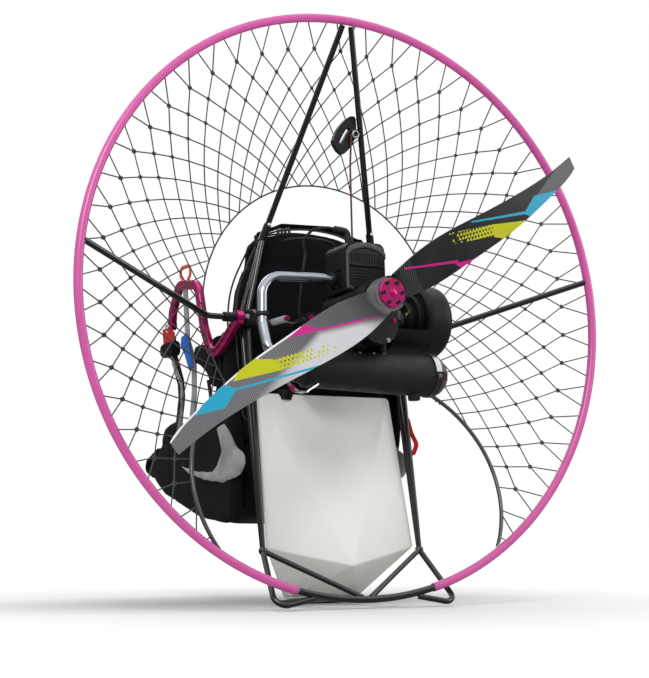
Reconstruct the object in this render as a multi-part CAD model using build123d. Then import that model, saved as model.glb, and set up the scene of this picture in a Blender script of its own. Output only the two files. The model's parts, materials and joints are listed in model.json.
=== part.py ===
from build123d import *
from math import atan2, cos, degrees, hypot, radians, sin
import os

# A paramotor: the back-pack power unit of a powered paraglider, standing on its feet.
# Everything is drawn upright in the machine frame, in millimetres: x to the right seen from behind,
# y forward to the pilot's side, z up, with the origin on the floor below the hoop's centre.
# At the end the whole machine leans forward by LEAN and is centred over the origin.

# Driving dimensions
LEAN = 3.8
HOOP_R = 712.5
HOOP_Z = 735
HOOP_TUBE = 25
BASE_TUBE = 17
SPAR_TUBE = 15
FRAME_TUBE = 13.5
FOOT_TUBE = 14
SKID_TUBE = 13
ROD_TUBE = 10
SPLIT_ANGLE = 7.8
BASE_ANGLE = 15.1

# Chassis corners on the right-hand side; the left side mirrors them
LOW_CORNER = (217, 107, 143)
REAR_KINK = (213, 165, 720)
FRONT_KINK = (213, 202, 720)
TOP_CORNER = (156, 184, 920)
TOP_SOCKET = 45
HOOP_TOP = (12, 0, 1434)
SIDE_SPAR_ON_HOOP = (700, 0, 833)
SIDE_SPAR_BEND = (330, 150, 708)
FOOT_BEND = (248, -12, 7)
FOOT_JOIN = (143, 0, 27)
V_BASE = (10, 0, 27)
SKID_X = 88
SKID_Y = 285
SKID_Z = 26
CROSS_HEIGHTS = (702, 562)

# Arm pivots and the swan-neck arms, in the plane x = ARM_X
PIVOT = (245, 150, 708)
ARM_X = 245
ARM_THICK = 17
ARM_DEPTH = 25
ARM_BORE_R = 8.4
PIN_R = 8.0
HANG_BORE_R = 6.0
ARM_ROUTE = [(150, 708), (228, 662), (300, 632), (346, 715), (378, 834), (492, 854), (538, 790), (545, 756)]
ARM_BENDS = (60, 46, 80, 40, 34, 20)
POCKET_COUNT = 11
POCKET_START = 34
POCKET_STEP = 15
POCKET_R = 8.2

# Net: log-spiral cords on a cone from the hoop to the inner ring
NET_CELLS = 54
NET_PHASE = 0.2
NET_ROWS = 10
NET_OUTER_R = 697
NET_RING_R = 330
NET_OUTER_Y = 17
NET_RING_Y = 172
NET_CORD_R = 1.5
NET_REACH = 0.015
NET_STEP = 0.005
NET_SHORTEST = 0.05
LAYER_OFFSET = 1.6
RING_CORD_R = 2.0
ROD_CENTRE = (133, 294)
ROD_R = 287
ROD_FOOT = (373, 0, 131)
ROD_MIDDLE = (403, 80, 392)
ROD_TOP = (213, 150, 570)

# Propeller
PROP_Y = -144
PROP_Z = 726
PROP_ANGLE = 33.2
PROP_BOSS_R = 42
PROP_BOSS_THICK = 36
BLADE_SET_BACK = 11
PLATE_R = 34.5
PLATE_THICK = 8
FLANGE_R = 40
FLANGE_THICK = 10
SHAFT_R = 17
# Each blade station: radius, leading edge, trailing edge, pitch in degrees, thickness
BLADE_STATIONS = [
    (30, 31, -35, 21, 25),
    (110, 45, -46, 24, 19),
    (200, 51, -47, 21, 14),
    (310, 51, -37, 16, 10),
    (390, 50, -29, 14, 9),
    (470, 44, -23, 12, 8),
    (560, 32, -20, 10, 6),
    (620, 22, -22, 9, 5),
    (671, 6, -26, 8, 4),
]

# Engine
GEAR_REAR_Y = -108
CRANK_REAR_Y = -60
PLATE_Y = (66, 76)
SHROUD = dict(x=54, rear=-50, front=48, low=752, high=871)
CRANK_Z = (628, 748)
AIRBOX = dict(y=30, z=700, r=90, x0=172, x1=248)
SADDLE = dict(x=80, y=64, z=666)

# Exhaust
MUFFLER_LEFT = (-184, -45, 556)
MUFFLER_RIGHT = (176, -45, 553)
MUFFLER_R = (43, 51)
MUFFLER_CAP = 43
HEADER_TUBE = 27
HEADER_ROUTE = [(-52, 0, 785), (-150, 6, 797), (-236, 6, 770), (-258, -10, 668), (-252, -40, 580), (-170, -45, 556)]
HEADER_BENDS = (60, 60, 80, 32)

# Fuel tank
TANK_WALL = 3

# Harness
PAD_Y = (216, 274)
PAD_OUTLINE = [
    (140, 945), (70, 962), (0, 968), (-70, 962), (-140, 945), (-164, 901), (-193, 847), (-214, 795), (-221, 724),
    (-219, 640), (-205, 540), (-196, 472), (196, 472), (205, 540), (219, 640), (221, 724), (214, 795), (193, 847), (164, 901),
]
SEAT_INNER = 205
SEAT_HALF = 228
# Side views of the seat as (y, z): the cushion between the walls, and the walls
SEAT_CUSHION = [
    (218, 440), (218, 228), (400, 222), (560, 290), (700, 372), (745, 410), (740, 440), (700, 462), (520, 448), (340, 430),
]
SEAT_WALL = [
    (218, 460), (218, 225), (300, 214), (450, 236), (544, 268), (671, 310), (735, 352), (770, 395), (745, 430), (690, 460),
    (665, 506), (600, 520), (500, 500), (420, 500), (340, 540), (292, 600), (278, 600), (278, 460),
]
STRAP_Y = 560
STRAP_Z = (395, 695)

# Ignition: the coil on the engine plate, its lead over the shroud, and the plug's elbow boot
COIL = (-88, 91, 640)
COIL_SIZE = (30, 30, 50)
BOOT_ROUTE = [(-30, -20, 871), (-30, -20, 903), (-66, -20, 906)]
BOOT_TUBE = 15
LEAD_ROUTE = [
    (-88, 91, 665), (-92, 90, 680), (-114, 84, 712), (-112, 62, 812), (-104, 60, 856), (-116, 48, 890), (-100, 26, 912),
    (-80, -12, 910), (-66, -20, 906),
]
LEAD_BENDS = (10, 16, 24, 24, 24, 20, 14)
LEAD_TUBE = 7


# Recoil starter's handle, a D seen from behind as (x, z), with its slot; the pulley on the right top spar
HANDLE_OUTLINE = [
    (64, 1229), (58, 1232), (48, 1230), (35, 1221), (19, 1204), (10, 1191), (2, 1175), (-3, 1162), (1, 1150), (9, 1138),
    (20, 1130), (30, 1132), (40, 1141), (54, 1161), (62, 1174), (66, 1192), (66, 1212),
]
HANDLE_SLOT = [(44, 1200), (34, 1192), (24, 1176), (16, 1161), (16, 1154), (22, 1158), (32, 1173), (41, 1188), (48, 1199)]
HANDLE_Y = (82, 96)
PULLEY = (58, 72, 1183)
PULLEY_R = 12
ROPE_TUBE = 3
ROPE_END = (50, 92, 724)
PULLEY_CLIP = (82, 89.5, 1183)


def mirrored(piece):
    return mirror(piece, about=Plane.YZ)


def flipped(point):
    return (-point[0], point[1], point[2])


def largest(shape):
    return max(shape.solids(), key=lambda s: s.volume)


def rod(start, end, diameter):
    """A straight round bar between two points."""
    run = Vector(*end) - Vector(*start)
    return Solid.make_cylinder(diameter / 2, run.length, Plane(origin=start, z_dir=run))


def tube(points, diameter, bends):
    """A round tube along straight runs joined by tangent arcs, one bend radius for each corner."""
    path = FilletPolyline(*points, radius=list(bends))
    section = Plane(origin=path @ 0, z_dir=path % 0) * Circle(diameter / 2)
    return sweep(section, path=path).solid()


def arc_bar(start, middle, end, diameter):
    path = ThreePointArc(start, middle, end)
    section = Plane(origin=path @ 0, z_dir=path % 0) * Circle(diameter / 2)
    return sweep(section, path=path).solid()


def on_hoop(angle, radius=HOOP_R):
    return (radius * cos(radians(angle)), 0, HOOP_Z + radius * sin(radians(angle)))


def hoop_bar(first, last, diameter):
    return arc_bar(on_hoop(first), on_hoop((first + last) / 2), on_hoop(last), diameter)


def hoop():
    """Four bent tubes, split at the top and where the side spars plug in."""
    upper = hoop_bar(SPLIT_ANGLE, 90, HOOP_TUBE)
    lower = hoop_bar(BASE_ANGLE - 90, SPLIT_ANGLE, HOOP_TUBE)
    return {
        "hoop_upper_right": upper,
        "hoop_upper_left": mirrored(upper),
        "hoop_lower_right": lower,
        "hoop_lower_left": mirrored(lower),
    }


def side_frame():
    """Rear and front uprights that spread from the lower corner and meet in the spar socket."""
    rear = tube([LOW_CORNER, REAR_KINK, TOP_CORNER], FRAME_TUBE, [70])
    front = tube([LOW_CORNER, FRONT_KINK, TOP_CORNER], FRAME_TUBE, [70])
    corner = Pos(*LOW_CORNER) * Sphere(FRAME_TUBE * 0.78)
    run = (Vector(*HOOP_TOP) - Vector(*TOP_CORNER)).normalized()
    start = Vector(*TOP_CORNER) - run * 8
    socket = Solid.make_cylinder(SPAR_TUBE * 0.66, TOP_SOCKET, Plane(origin=start, z_dir=run))
    return largest(rear + front + corner + socket)


def chassis():
    frame = side_frame()
    base = hoop_bar(BASE_ANGLE - 90, -90 - BASE_ANGLE, BASE_TUBE)
    foot = tube([LOW_CORNER, FOOT_BEND, FOOT_JOIN], FOOT_TUBE, [26])
    foot = largest(foot - frame - base)
    v_tube = largest(rod(LOW_CORNER, V_BASE, FOOT_TUBE - 1) - frame - base - foot)
    skid_bar = tube(
        [(-SKID_X, 0, 28), (-SKID_X, SKID_Y, SKID_Z), (SKID_X, SKID_Y, SKID_Z), (SKID_X, 0, 28)], SKID_TUBE, [24, 24]
    )
    skid_bar = largest(skid_bar - base)
    rail = Box(SKID_X * 3, SKID_Y - 40, 80, align=(Align.CENTER, Align.MIN, Align.CENTER))
    front_bar = largest(skid_bar - rail)
    rails = skid_bar & rail
    rails = sorted(rails.solids(), key=lambda s: s.center().X)
    crosses = {}
    for name, height in zip(("cross_tube_upper", "cross_tube_lower"), CROSS_HEIGHTS):
        share = (height - LOW_CORNER[2]) / (REAR_KINK[2] - LOW_CORNER[2])
        x = LOW_CORNER[0] + (REAR_KINK[0] - LOW_CORNER[0]) * share
        y = LOW_CORNER[1] + (REAR_KINK[1] - LOW_CORNER[1]) * share
        crosses[name] = largest(rod((-x, y, height), (x, y, height), FRAME_TUBE) - frame - mirrored(frame))
    return {
        "side_frame_right": frame,
        "side_frame_left": mirrored(frame),
        "base_arc": base,
        "foot_right": foot,
        "foot_left": mirrored(foot),
        "v_tube_right": v_tube,
        "v_tube_left": mirrored(v_tube),
        "skid_rail_left": rails[0],
        "skid_rail_right": rails[-1],
        "skid_bar": front_bar,
        **crosses,
    }


def spars(frame, hoop_parts):
    """Top spars, side spars and the bent net rods, coped to what they meet."""
    top = rod(TOP_CORNER, HOOP_TOP, SPAR_TUBE)
    top = largest(top - frame - hoop_parts["hoop_upper_right"])
    inner = (PIVOT[0] + 40, PIVOT[1], PIVOT[2])
    side = tube([inner, SIDE_SPAR_BEND, SIDE_SPAR_ON_HOOP], SPAR_TUBE, [60])
    side = largest(side - hoop_parts["hoop_upper_right"] - hoop_parts["hoop_lower_right"])
    net_rod = arc_bar(ROD_TOP, ROD_MIDDLE, ROD_FOOT, ROD_TUBE)
    net_rod = largest(net_rod - frame - hoop_parts["hoop_lower_right"])
    return {
        "top_spar_right": top,
        "top_spar_left": mirrored(top),
        "side_spar_right": side,
        "side_spar_left": mirrored(side),
        "net_rod_right": net_rod,
        "net_rod_left": mirrored(net_rod),
    }


def net_point(radius, angle, layer=0):
    y = NET_OUTER_Y + (NET_RING_Y - NET_OUTER_Y) * (NET_OUTER_R - radius) / (NET_OUTER_R - NET_RING_R)
    return (radius * cos(radians(angle)), y + layer, HOOP_Z + radius * sin(radians(angle)))


def netted(radius, angle):
    """True where the net covers: outside the net rods and above their feet."""
    x, _, z = net_point(radius, angle)
    foot_angle = degrees(atan2(ROD_FOOT[2] - HOOP_Z, ROD_FOOT[0]))
    side = degrees(atan2(z - HOOP_Z, abs(x)))
    return hypot(abs(x) - ROD_CENTRE[0], z - ROD_CENTRE[1]) > ROD_R + ROD_TUBE / 2 + NET_CORD_R and side > foot_angle + 0.5


def net_cord(first_angle, turn, layer):
    """One cord that winds inwards as a log spiral, as long as it stays in the netted part."""
    shrink = NET_RING_R / NET_OUTER_R
    share = 0
    while share < 1 and netted(NET_OUTER_R * shrink ** (share + NET_STEP), first_angle + turn * (share + NET_STEP)):
        share += NET_STEP
    if share < NET_SHORTEST:
        return None
    points = []
    for part in (-NET_REACH, share / 2, share):
        radius = max(NET_OUTER_R * shrink ** part, NET_RING_R + RING_CORD_R + 1.5)
        points.append(net_point(radius, first_angle + turn * part, layer))
    path = ThreePointArc(*points)
    section = Plane(origin=path @ 0, z_dir=path % 0) * RegularPolygon(NET_CORD_R, 3)
    return sweep(section, path=path).solid()


def net():
    turn = NET_ROWS * 180 / NET_CELLS
    layers = {}
    for name, sense, layer in (("net_cords_rear", 1, -LAYER_OFFSET), ("net_cords_front", -1, LAYER_OFFSET)):
        cords = []
        for cell in range(NET_CELLS):
            angle = cell * 360 / NET_CELLS - NET_PHASE
            angle = (angle + 90) % 360 - 90
            cord = net_cord(angle, sense * turn, layer) if netted(NET_OUTER_R, angle) else None
            if cord:
                cords.append(cord)
        layers[name] = Compound(children=cords)
    angle = -60
    while not netted(NET_RING_R, angle):
        angle += 0.5
    ring = arc_bar(
        net_point(NET_RING_R, angle), net_point(NET_RING_R, 90), net_point(NET_RING_R, 180 - angle), 2 * RING_CORD_R
    )
    return {"net_ring": ring, **layers}


def fuel_tank():
    """A faceted blow-moulded tank: a keel runs down its rear wall to a pointed lower edge."""
    half_top, half_low, half_floor = 192, 204, 96
    top_rear, top_front = 158, 205
    corners = {
        "top_rear": (half_top, top_rear, 515),
        "top_front": (half_top - 6, top_front, 515),
        "low_rear": (half_low, 116, 150),
        "low_front": (half_low - 10, 212, 150),
        "floor_rear": (half_floor, 205, 36),
        "floor_front": (half_floor, 262, 36),
    }
    keel_top = (0, 150, 515)
    keel_low = (0, 66, 110)
    c = corners
    m = {name: flipped(p) for name, p in corners.items()}
    faces = [
        [c["top_rear"], keel_top, keel_low, c["low_rear"]],
        [m["top_rear"], keel_top, keel_low, m["low_rear"]],
        [c["low_rear"], keel_low, c["floor_rear"]],
        [m["low_rear"], keel_low, m["floor_rear"]],
        [keel_low, c["floor_rear"], m["floor_rear"]],
        [c["floor_rear"], m["floor_rear"], m["floor_front"], c["floor_front"]],
        [c["top_rear"], keel_top, m["top_rear"], m["top_front"], c["top_front"]],
        [c["top_front"], m["top_front"], m["low_front"], c["low_front"]],
        [c["low_front"], m["low_front"], m["floor_front"], c["floor_front"]],
        [c["top_rear"], c["top_front"], c["low_front"], c["low_rear"]],
        [m["top_rear"], m["top_front"], m["low_front"], m["low_rear"]],
        [c["low_rear"], c["low_front"], c["floor_front"], c["floor_rear"]],
        [m["low_rear"], m["low_front"], m["floor_front"], m["floor_rear"]],
    ]
    skin = []
    for face in faces:
        skin += flat_faces(face)
    outer = Solid(Shell(skin))
    if outer.volume < 0:
        outer = Solid(outer.wrapped.Reversed())
    neck = Pos(-110, 181, 515) * Cylinder(17, 8, align=(Align.CENTER, Align.CENTER, Align.MIN))
    cap = Pos(-110, 181, 523) * Cylinder(21, 16, align=(Align.CENTER, Align.CENTER, Align.MIN))
    cap = fillet(cap.edges().group_by(Axis.Z)[-1], 4)
    outer = largest(outer)
    hollow = offset(outer, -TANK_WALL)
    return {"fuel_tank": largest(outer - hollow + neck), "tank_cap": largest(cap)}


def flat_faces(points):
    """One face where the points lie in a plane, otherwise a fan of triangles."""
    fan = [points[0:1] + points[i : i + 2] for i in range(1, len(points) - 1)]
    normals = [(Vector(*b) - Vector(*a)).cross(Vector(*c) - Vector(*a)).normalized() for a, b, c in fan]
    if all(abs(abs(n.dot(normals[0])) - 1) < 1e-9 for n in normals):
        fan = [points]
    return [Face(Wire(Polyline(*[Vector(*p) for p in piece], close=True).edges())) for piece in fan]


def bolt_ring(count, pitch_r, hole_r, depth, y):
    """Holes along y, evenly spaced round the propeller shaft."""
    holes = []
    for i in range(count):
        angle = radians(PROP_ANGLE + 30 + 360 * i / count)
        at = (pitch_r * cos(angle), y, PROP_Z + pitch_r * sin(angle))
        holes.append(Solid.make_cylinder(hole_r, depth, Plane(origin=at, z_dir=(0, 1, 0))))
    return holes


def along_y(x, z, radius, y0, y1):
    return Solid.make_cylinder(radius, y1 - y0, Plane(origin=(x, y0, z), z_dir=(0, 1, 0)))


def along_x(y, z, radius, x0, x1):
    return Solid.make_cylinder(radius, x1 - x0, Plane(origin=(x0, y, z), z_dir=(1, 0, 0)))


def blade_section(radius, lead, trail, pitch, thick):
    """A flat-faced aerofoil across the blade, drawn at its radius along +x, leading edge towards -z."""
    lift = radians(pitch)
    scale = 1 / cos(lift)
    ends = []
    for edge in (lead, trail):
        ends.append((edge * scale, 0))
    nose, tail = ends[0][0], ends[1][0]
    blunt = max(0.9, thick * 0.16)
    top = nose + (tail - nose) * 0.38
    outline = [
        Line((tail, 0), (nose, 0)),
        ThreePointArc((nose, 0), (nose + blunt * 0.6, blunt), (nose, 2 * blunt)),
        ThreePointArc((nose, 2 * blunt), (top, thick), (tail, blunt)),
        Line((tail, blunt), (tail, 0)),
    ]
    plane = Plane(origin=(radius, 0, 0), x_dir=(0, sin(lift), -cos(lift)), z_dir=(1, 0, 0))
    return plane * make_face(outline)


def propeller():
    """Two twisted scimitar blades on a boss, with the clamping plate behind and the drive flange in front."""
    blade = Pos(0, -BLADE_SET_BACK, 0) * loft([blade_section(*station) for station in BLADE_STATIONS])
    turn = Pos(0, PROP_Y, PROP_Z) * Rotation(0, -PROP_ANGLE, 0)
    rear = PROP_Y - PROP_BOSS_THICK / 2
    front = PROP_Y + PROP_BOSS_THICK / 2
    prop = turn * blade + turn * Rotation(0, 180, 0) * blade + along_y(0, PROP_Z, PROP_BOSS_R, rear, front)
    prop = prop - along_y(0, PROP_Z, PROP_BOSS_R, rear - 60, rear) - along_y(0, PROP_Z, PROP_BOSS_R, front, front + 60)
    plate = along_y(0, PROP_Z, PLATE_R, rear - PLATE_THICK, rear)
    plate = chamfer(plate.edges().group_by(Axis.Y)[0], 1.5)
    flange = along_y(0, PROP_Z, FLANGE_R, front, front + FLANGE_THICK)
    flange += along_y(0, PROP_Z, SHAFT_R, front + FLANGE_THICK, GEAR_REAR_Y + 12)
    for hole in bolt_ring(6, 26, 4, PLATE_THICK, rear - PLATE_THICK):
        plate -= hole
    return {"propeller": largest(prop), "propeller_plate": largest(plate), "drive_flange": largest(flange)}


def engine():
    crank = Box(124, PLATE_Y[0] - CRANK_REAR_Y, CRANK_Z[1] - CRANK_Z[0])
    crank = Pos(0, (PLATE_Y[0] + CRANK_REAR_Y) / 2, sum(CRANK_Z) / 2) * fillet(crank.edges().filter_by(Axis.Y), 26)
    plate = Pos(0, PLATE_Y[0], 632) * Box(206, 10, 172, align=(Align.CENTER, Align.MIN, Align.CENTER))
    plate = fillet(plate.edges().filter_by(Axis.Y), 14)
    starter = along_y(0, 660, 70, PLATE_Y[1], PLATE_Y[1] + 36)
    starter = chamfer(starter.edges().group_by(Axis.Y)[-1], 10)
    starter += Pos(50, PLATE_Y[1] + 16, 712) * Cylinder(9, 22)
    gear = make_hull((Pos(0, PROP_Z) * Circle(44)).edges() + (Pos(0, 664) * Circle(50)).edges())
    gear = extrude(Plane.XZ * gear, amount=CRANK_REAR_Y - GEAR_REAR_Y)
    gear = Pos(0, CRANK_REAR_Y - gear.bounding_box().max.Y, 0) * gear
    gear -= along_y(0, PROP_Z, SHAFT_R + 0.3, GEAR_REAR_Y - 1, GEAR_REAR_Y + 14)
    s = SHROUD
    mid_y = (s["rear"] + s["front"]) / 2
    mid_z = (s["low"] + s["high"]) / 2
    shroud = Pos(0, mid_y, mid_z) * Box(2 * s["x"], s["front"] - s["rear"], s["high"] - s["low"])
    shroud = fillet(shroud.edges().filter_by(Axis.Y).group_by(Axis.Z)[-1], 18)
    inside = Pos(0, mid_y, mid_z - 4) * Box(2 * s["x"] - 8, s["front"] - s["rear"] - 8, s["high"] - s["low"])
    shroud -= inside
    for i in range(7):
        z = 772 + i * 12
        shroud -= Pos(-14 + i * 1.5, s["rear"], z) * Box(58 - i * 3, 12, 5)
    port = Pos(-s["x"], 0, 785) * Box(20, 44, 44)
    shroud -= port
    barrel = Pos(0, 0, (CRANK_Z[1] + 862) / 2) * Cylinder(34, 862 - CRANK_Z[1])
    for i in range(7):
        barrel += Pos(0, 0, 764 + i * 14) * Cylinder(43, 4)
    barrel += along_x(0, 785, 21, -52, -20)
    a = AIRBOX
    drum = along_x(a["y"], a["z"], a["r"], a["x0"], a["x1"])
    drum = fillet(drum.edges().filter_by(GeomType.CIRCLE).group_by(Axis.X)[-1], 28)
    drum = fillet(drum.edges().filter_by(GeomType.CIRCLE).group_by(Axis.X)[0], 14)
    drum += along_x(a["y"], a["z"], 64, a["x0"] - 16, a["x0"] + 10)
    drum += along_x(a["y"], a["z"], 47, a["x0"] - 34, a["x0"] - 10)
    saddle = along_x(a["y"], a["z"], a["r"] - 2, SADDLE["x"], a["x0"] + 6)
    room = Pos(SADDLE["x"] - 1, SADDLE["y"], SADDLE["z"]) * Box(200, 200, 100, align=(Align.MIN, Align.MAX, Align.MAX))
    drum += saddle & room
    carb = along_x(a["y"], a["z"], 22, 62, a["x0"] - 34)
    carb += Pos(98, a["y"] - 4, a["z"] - 4) * Box(36, 44, 54)
    standoffs = []
    for x, z in ((-88, CROSS_HEIGHTS[0]), (88, CROSS_HEIGHTS[0]), (-88, CROSS_HEIGHTS[1]), (88, CROSS_HEIGHTS[1])):
        share = (z - LOW_CORNER[2]) / (REAR_KINK[2] - LOW_CORNER[2])
        y = LOW_CORNER[1] + (REAR_KINK[1] - LOW_CORNER[1]) * share
        bar = along_y(x, z, 9, PLATE_Y[1], y) - rod((-200, y, z), (200, y, z), FRAME_TUBE)
        standoffs.append(largest(bar))
    return {
        "crankcase": largest(crank),
        "engine_plate": largest(plate),
        "recoil_starter": largest(starter),
        "gear_casing": largest(gear),
        "cooling_shroud": largest(shroud),
        "cylinder": largest(barrel),
        "airbox": largest(drum),
        "carburettor": largest(carb),
        "engine_standoffs": Compound(children=standoffs),
    }


def exhaust(parts):
    axis = (Vector(*MUFFLER_RIGHT) - Vector(*MUFFLER_LEFT)).normalized()
    length = (Vector(*MUFFLER_RIGHT) - Vector(*MUFFLER_LEFT)).length
    profile = Polyline(
        (0, 0), (MUFFLER_R[0] - 10, 0), (MUFFLER_R[0], 10), (MUFFLER_R[1], length), (0, length), close=True
    )
    place = Plane(origin=MUFFLER_LEFT, x_dir=(0, 1, 0), z_dir=axis)
    can = place * revolve(Plane.XZ * make_face(profile), axis=Axis.Z)
    rim = MUFFLER_R[1] - 3
    tip = length + MUFFLER_CAP
    profile = Polyline((0, length), (rim, length), (rim - 2, length + 14), (26, tip), (0, tip), close=True)
    cap = place * revolve(Plane.XZ * make_face(profile), axis=Axis.Z)
    header = tube(HEADER_ROUTE, HEADER_TUBE, HEADER_BENDS)
    header = largest(header - can - parts["cylinder"])
    posts = []
    for x in (-46, 46):
        post = Pos(x, -40, 610) * Cylinder(8, 70) - can - parts["crankcase"]
        posts.append(max(post.solids(), key=lambda s: s.volume))
    return {
        "muffler": largest(can),
        "muffler_end_cap": largest(cap),
        "exhaust_header": header,
        "muffler_posts": Compound(children=posts),
    }


def arm():
    """Swan-neck hang arm on the right side, with its pivot eye and its hang bore."""
    route = [(ARM_X, y, z) for y, z in ARM_ROUTE]
    path = FilletPolyline(*route, radius=list(ARM_BENDS))
    along = path % 0
    section = Plane(origin=path @ 0, x_dir=(1, 0, 0), z_dir=along) * RectangleRounded(ARM_THICK, ARM_DEPTH, 4)
    body = sweep(section, path=path).solid()
    half = ARM_THICK / 2
    eye = along_x(PIVOT[1], PIVOT[2], 18, ARM_X - half, ARM_X + half)
    end_y, end_z = ARM_ROUTE[-1]
    tip = along_x(end_y, end_z, 13, ARM_X - half, ARM_X + half)
    body = body + eye + tip
    body -= along_x(PIVOT[1], PIVOT[2], ARM_BORE_R, ARM_X - 20, ARM_X + 20)
    body -= along_x(end_y, end_z, HANG_BORE_R, ARM_X - 20, ARM_X + 20)
    pockets = []
    for i in range(POCKET_COUNT):
        share = (POCKET_START + i * POCKET_STEP) / path.length
        spot = Plane(origin=path @ share, x_dir=path % share, z_dir=(1, 0, 0))
        lift = POCKET_R / 4 * (-1) ** i
        shape = Rotation(0, 0, 90 * (-1) ** i) * RegularPolygon(POCKET_R, 3)
        pockets.append(extrude(spot * Pos(0, lift, 0) * shape, amount=ARM_THICK, both=True))
    return largest(body - pockets)


def arm_pivot(frame):
    """Clamp block round the side frame's two uprights, with the pivot pin and the spar's socket."""
    block = Pos(220, 172, 708) * Box(24, 84, 40)
    block = fillet(block.edges().filter_by(Axis.X), 8)
    pin = along_x(PIVOT[1], PIVOT[2], PIN_R, 230, 262)
    collar = along_x(PIVOT[1], PIVOT[2], 12, 260, PIVOT[0] + 40)
    return largest(block + pin + collar - frame)


def harness():
    """Back pad, bucket seat and the straps between seat and arms, as plain closed solids."""
    pad = extrude(Plane.XZ * make_face(Polyline(*PAD_OUTLINE, close=True)), amount=PAD_Y[1] - PAD_Y[0])
    pad = Pos(0, PAD_Y[1] - pad.bounding_box().max.Y, 0) * pad
    pad = chamfer(pad.edges().group_by(Axis.Y)[0] + pad.edges().group_by(Axis.Y)[-1], 9)
    seat = extrude(Plane.YZ * make_face(Polyline(*SEAT_CUSHION, close=True)), amount=SEAT_INNER, both=True)
    wall = make_face(Polyline(*SEAT_WALL, close=True))
    for start in (-SEAT_HALF, SEAT_INNER):
        seat += Pos(start, 0, 0) * extrude(Plane.YZ * wall, amount=SEAT_HALF - SEAT_INNER)
    straps = {}
    for name, side in (("hang_strap_left", -1), ("hang_strap_right", 1)):
        strap = Pos(side * (SEAT_HALF + 2), STRAP_Y, sum(STRAP_Z) / 2) * Box(4, 30, STRAP_Z[1] - STRAP_Z[0])
        straps[name] = strap.solid()
    return {"harness_back": largest(pad), "harness_seat": largest(seat), **straps}


def ignition():
    """Coil, lead and plug boot: the lead is held at both ends, so it is drawn whole."""
    coil = Pos(*COIL) * Box(*COIL_SIZE)
    coil = largest(chamfer(coil.edges().filter_by(Axis.Y), 5))
    boot = tube(BOOT_ROUTE, BOOT_TUBE, [12])
    lead = largest(tube(LEAD_ROUTE, LEAD_TUBE, LEAD_BENDS) - coil - boot)
    return {"ignition_coil": coil, "plug_boot": boot, "ignition_lead": lead}


def starter_pull():
    """Pulley clipped to the right top spar, its taut cord and the D-shaped handle."""
    x, y, z = PULLEY
    front = HANDLE_Y[0]
    spar = rod(TOP_CORNER, HOOP_TOP, SPAR_TUBE)
    pulley = largest(along_y(x, z, PULLEY_R, y, front) + rod((x + 8, (y + front) / 2, z), PULLEY_CLIP, 6) - spar)
    handle = Plane.XZ * (make_face(Polyline(*HANDLE_OUTLINE, close=True)) - make_face(Polyline(*HANDLE_SLOT, close=True)))
    handle = extrude(handle, amount=HANDLE_Y[1] - front)
    handle = Pos(0, HANDLE_Y[1] - handle.bounding_box().max.Y, 0) * handle
    cord = rod((x + PULLEY_R - 2, (y + front) / 2, z - 4), ROPE_END, ROPE_TUBE) - pulley
    return {"starter_pulley": pulley, "starter_handle": largest(handle), "starter_cord": largest(cord)}


def build():
    parts = hoop()
    parts.update(chassis())
    frame = parts["side_frame_right"]
    parts.update(spars(frame, parts))
    parts.update(net())
    parts.update(fuel_tank())
    parts.update(engine())
    parts.update(exhaust(parts))
    parts.update(propeller())
    pivot = largest(arm_pivot(frame) - parts["cross_tube_upper"])
    parts["arm_pivot_right"] = pivot
    parts["arm_pivot_left"] = mirrored(pivot)
    right_arm = arm()
    parts["arm_right"] = right_arm
    parts["arm_left"] = mirrored(right_arm)
    parts.update(harness())
    parts.update(ignition())
    parts.update(starter_pull())
    return parts


def leaned(parts):
    """Lean the machine forward and centre its box over the origin, standing on the floor."""
    tipped = {name: Rotation(-LEAN, 0, 0) * part for name, part in parts.items()}
    boxes = [part.bounding_box() for part in tipped.values()]
    low_y = min(b.min.Y for b in boxes)
    high_y = max(b.max.Y for b in boxes)
    low_z = min(b.min.Z for b in boxes)
    shift = Pos(0, -(low_y + high_y) / 2, -low_z)
    print("shift", -(low_y + high_y) / 2, -low_z)
    return {name: shift * part for name, part in tipped.items()}


os.makedirs("parts", exist_ok=True)
for name, part in leaned(build()).items():
    export_step(part, f"parts/{name}.step")
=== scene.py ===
import json
from math import atan2, ceil, cos, degrees, hypot, pi, radians, sin, tan

import bmesh
import bpy
from mathutils import Matrix, Vector


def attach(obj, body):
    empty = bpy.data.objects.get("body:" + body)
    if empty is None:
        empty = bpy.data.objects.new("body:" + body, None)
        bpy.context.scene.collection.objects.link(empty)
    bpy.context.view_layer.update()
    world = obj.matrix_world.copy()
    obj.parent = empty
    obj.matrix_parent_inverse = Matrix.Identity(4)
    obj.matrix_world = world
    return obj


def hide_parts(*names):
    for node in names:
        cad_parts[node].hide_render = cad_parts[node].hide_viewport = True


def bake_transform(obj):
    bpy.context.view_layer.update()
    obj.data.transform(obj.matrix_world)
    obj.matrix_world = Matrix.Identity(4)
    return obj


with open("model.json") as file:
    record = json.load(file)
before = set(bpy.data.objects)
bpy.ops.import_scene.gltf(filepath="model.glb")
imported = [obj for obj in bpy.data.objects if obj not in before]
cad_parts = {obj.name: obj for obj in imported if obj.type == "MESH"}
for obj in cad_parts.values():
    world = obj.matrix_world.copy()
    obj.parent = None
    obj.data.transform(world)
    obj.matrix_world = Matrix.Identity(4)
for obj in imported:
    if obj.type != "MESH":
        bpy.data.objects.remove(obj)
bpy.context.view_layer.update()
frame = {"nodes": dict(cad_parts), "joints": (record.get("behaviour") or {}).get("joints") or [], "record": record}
nodes = frame["nodes"]

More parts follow.
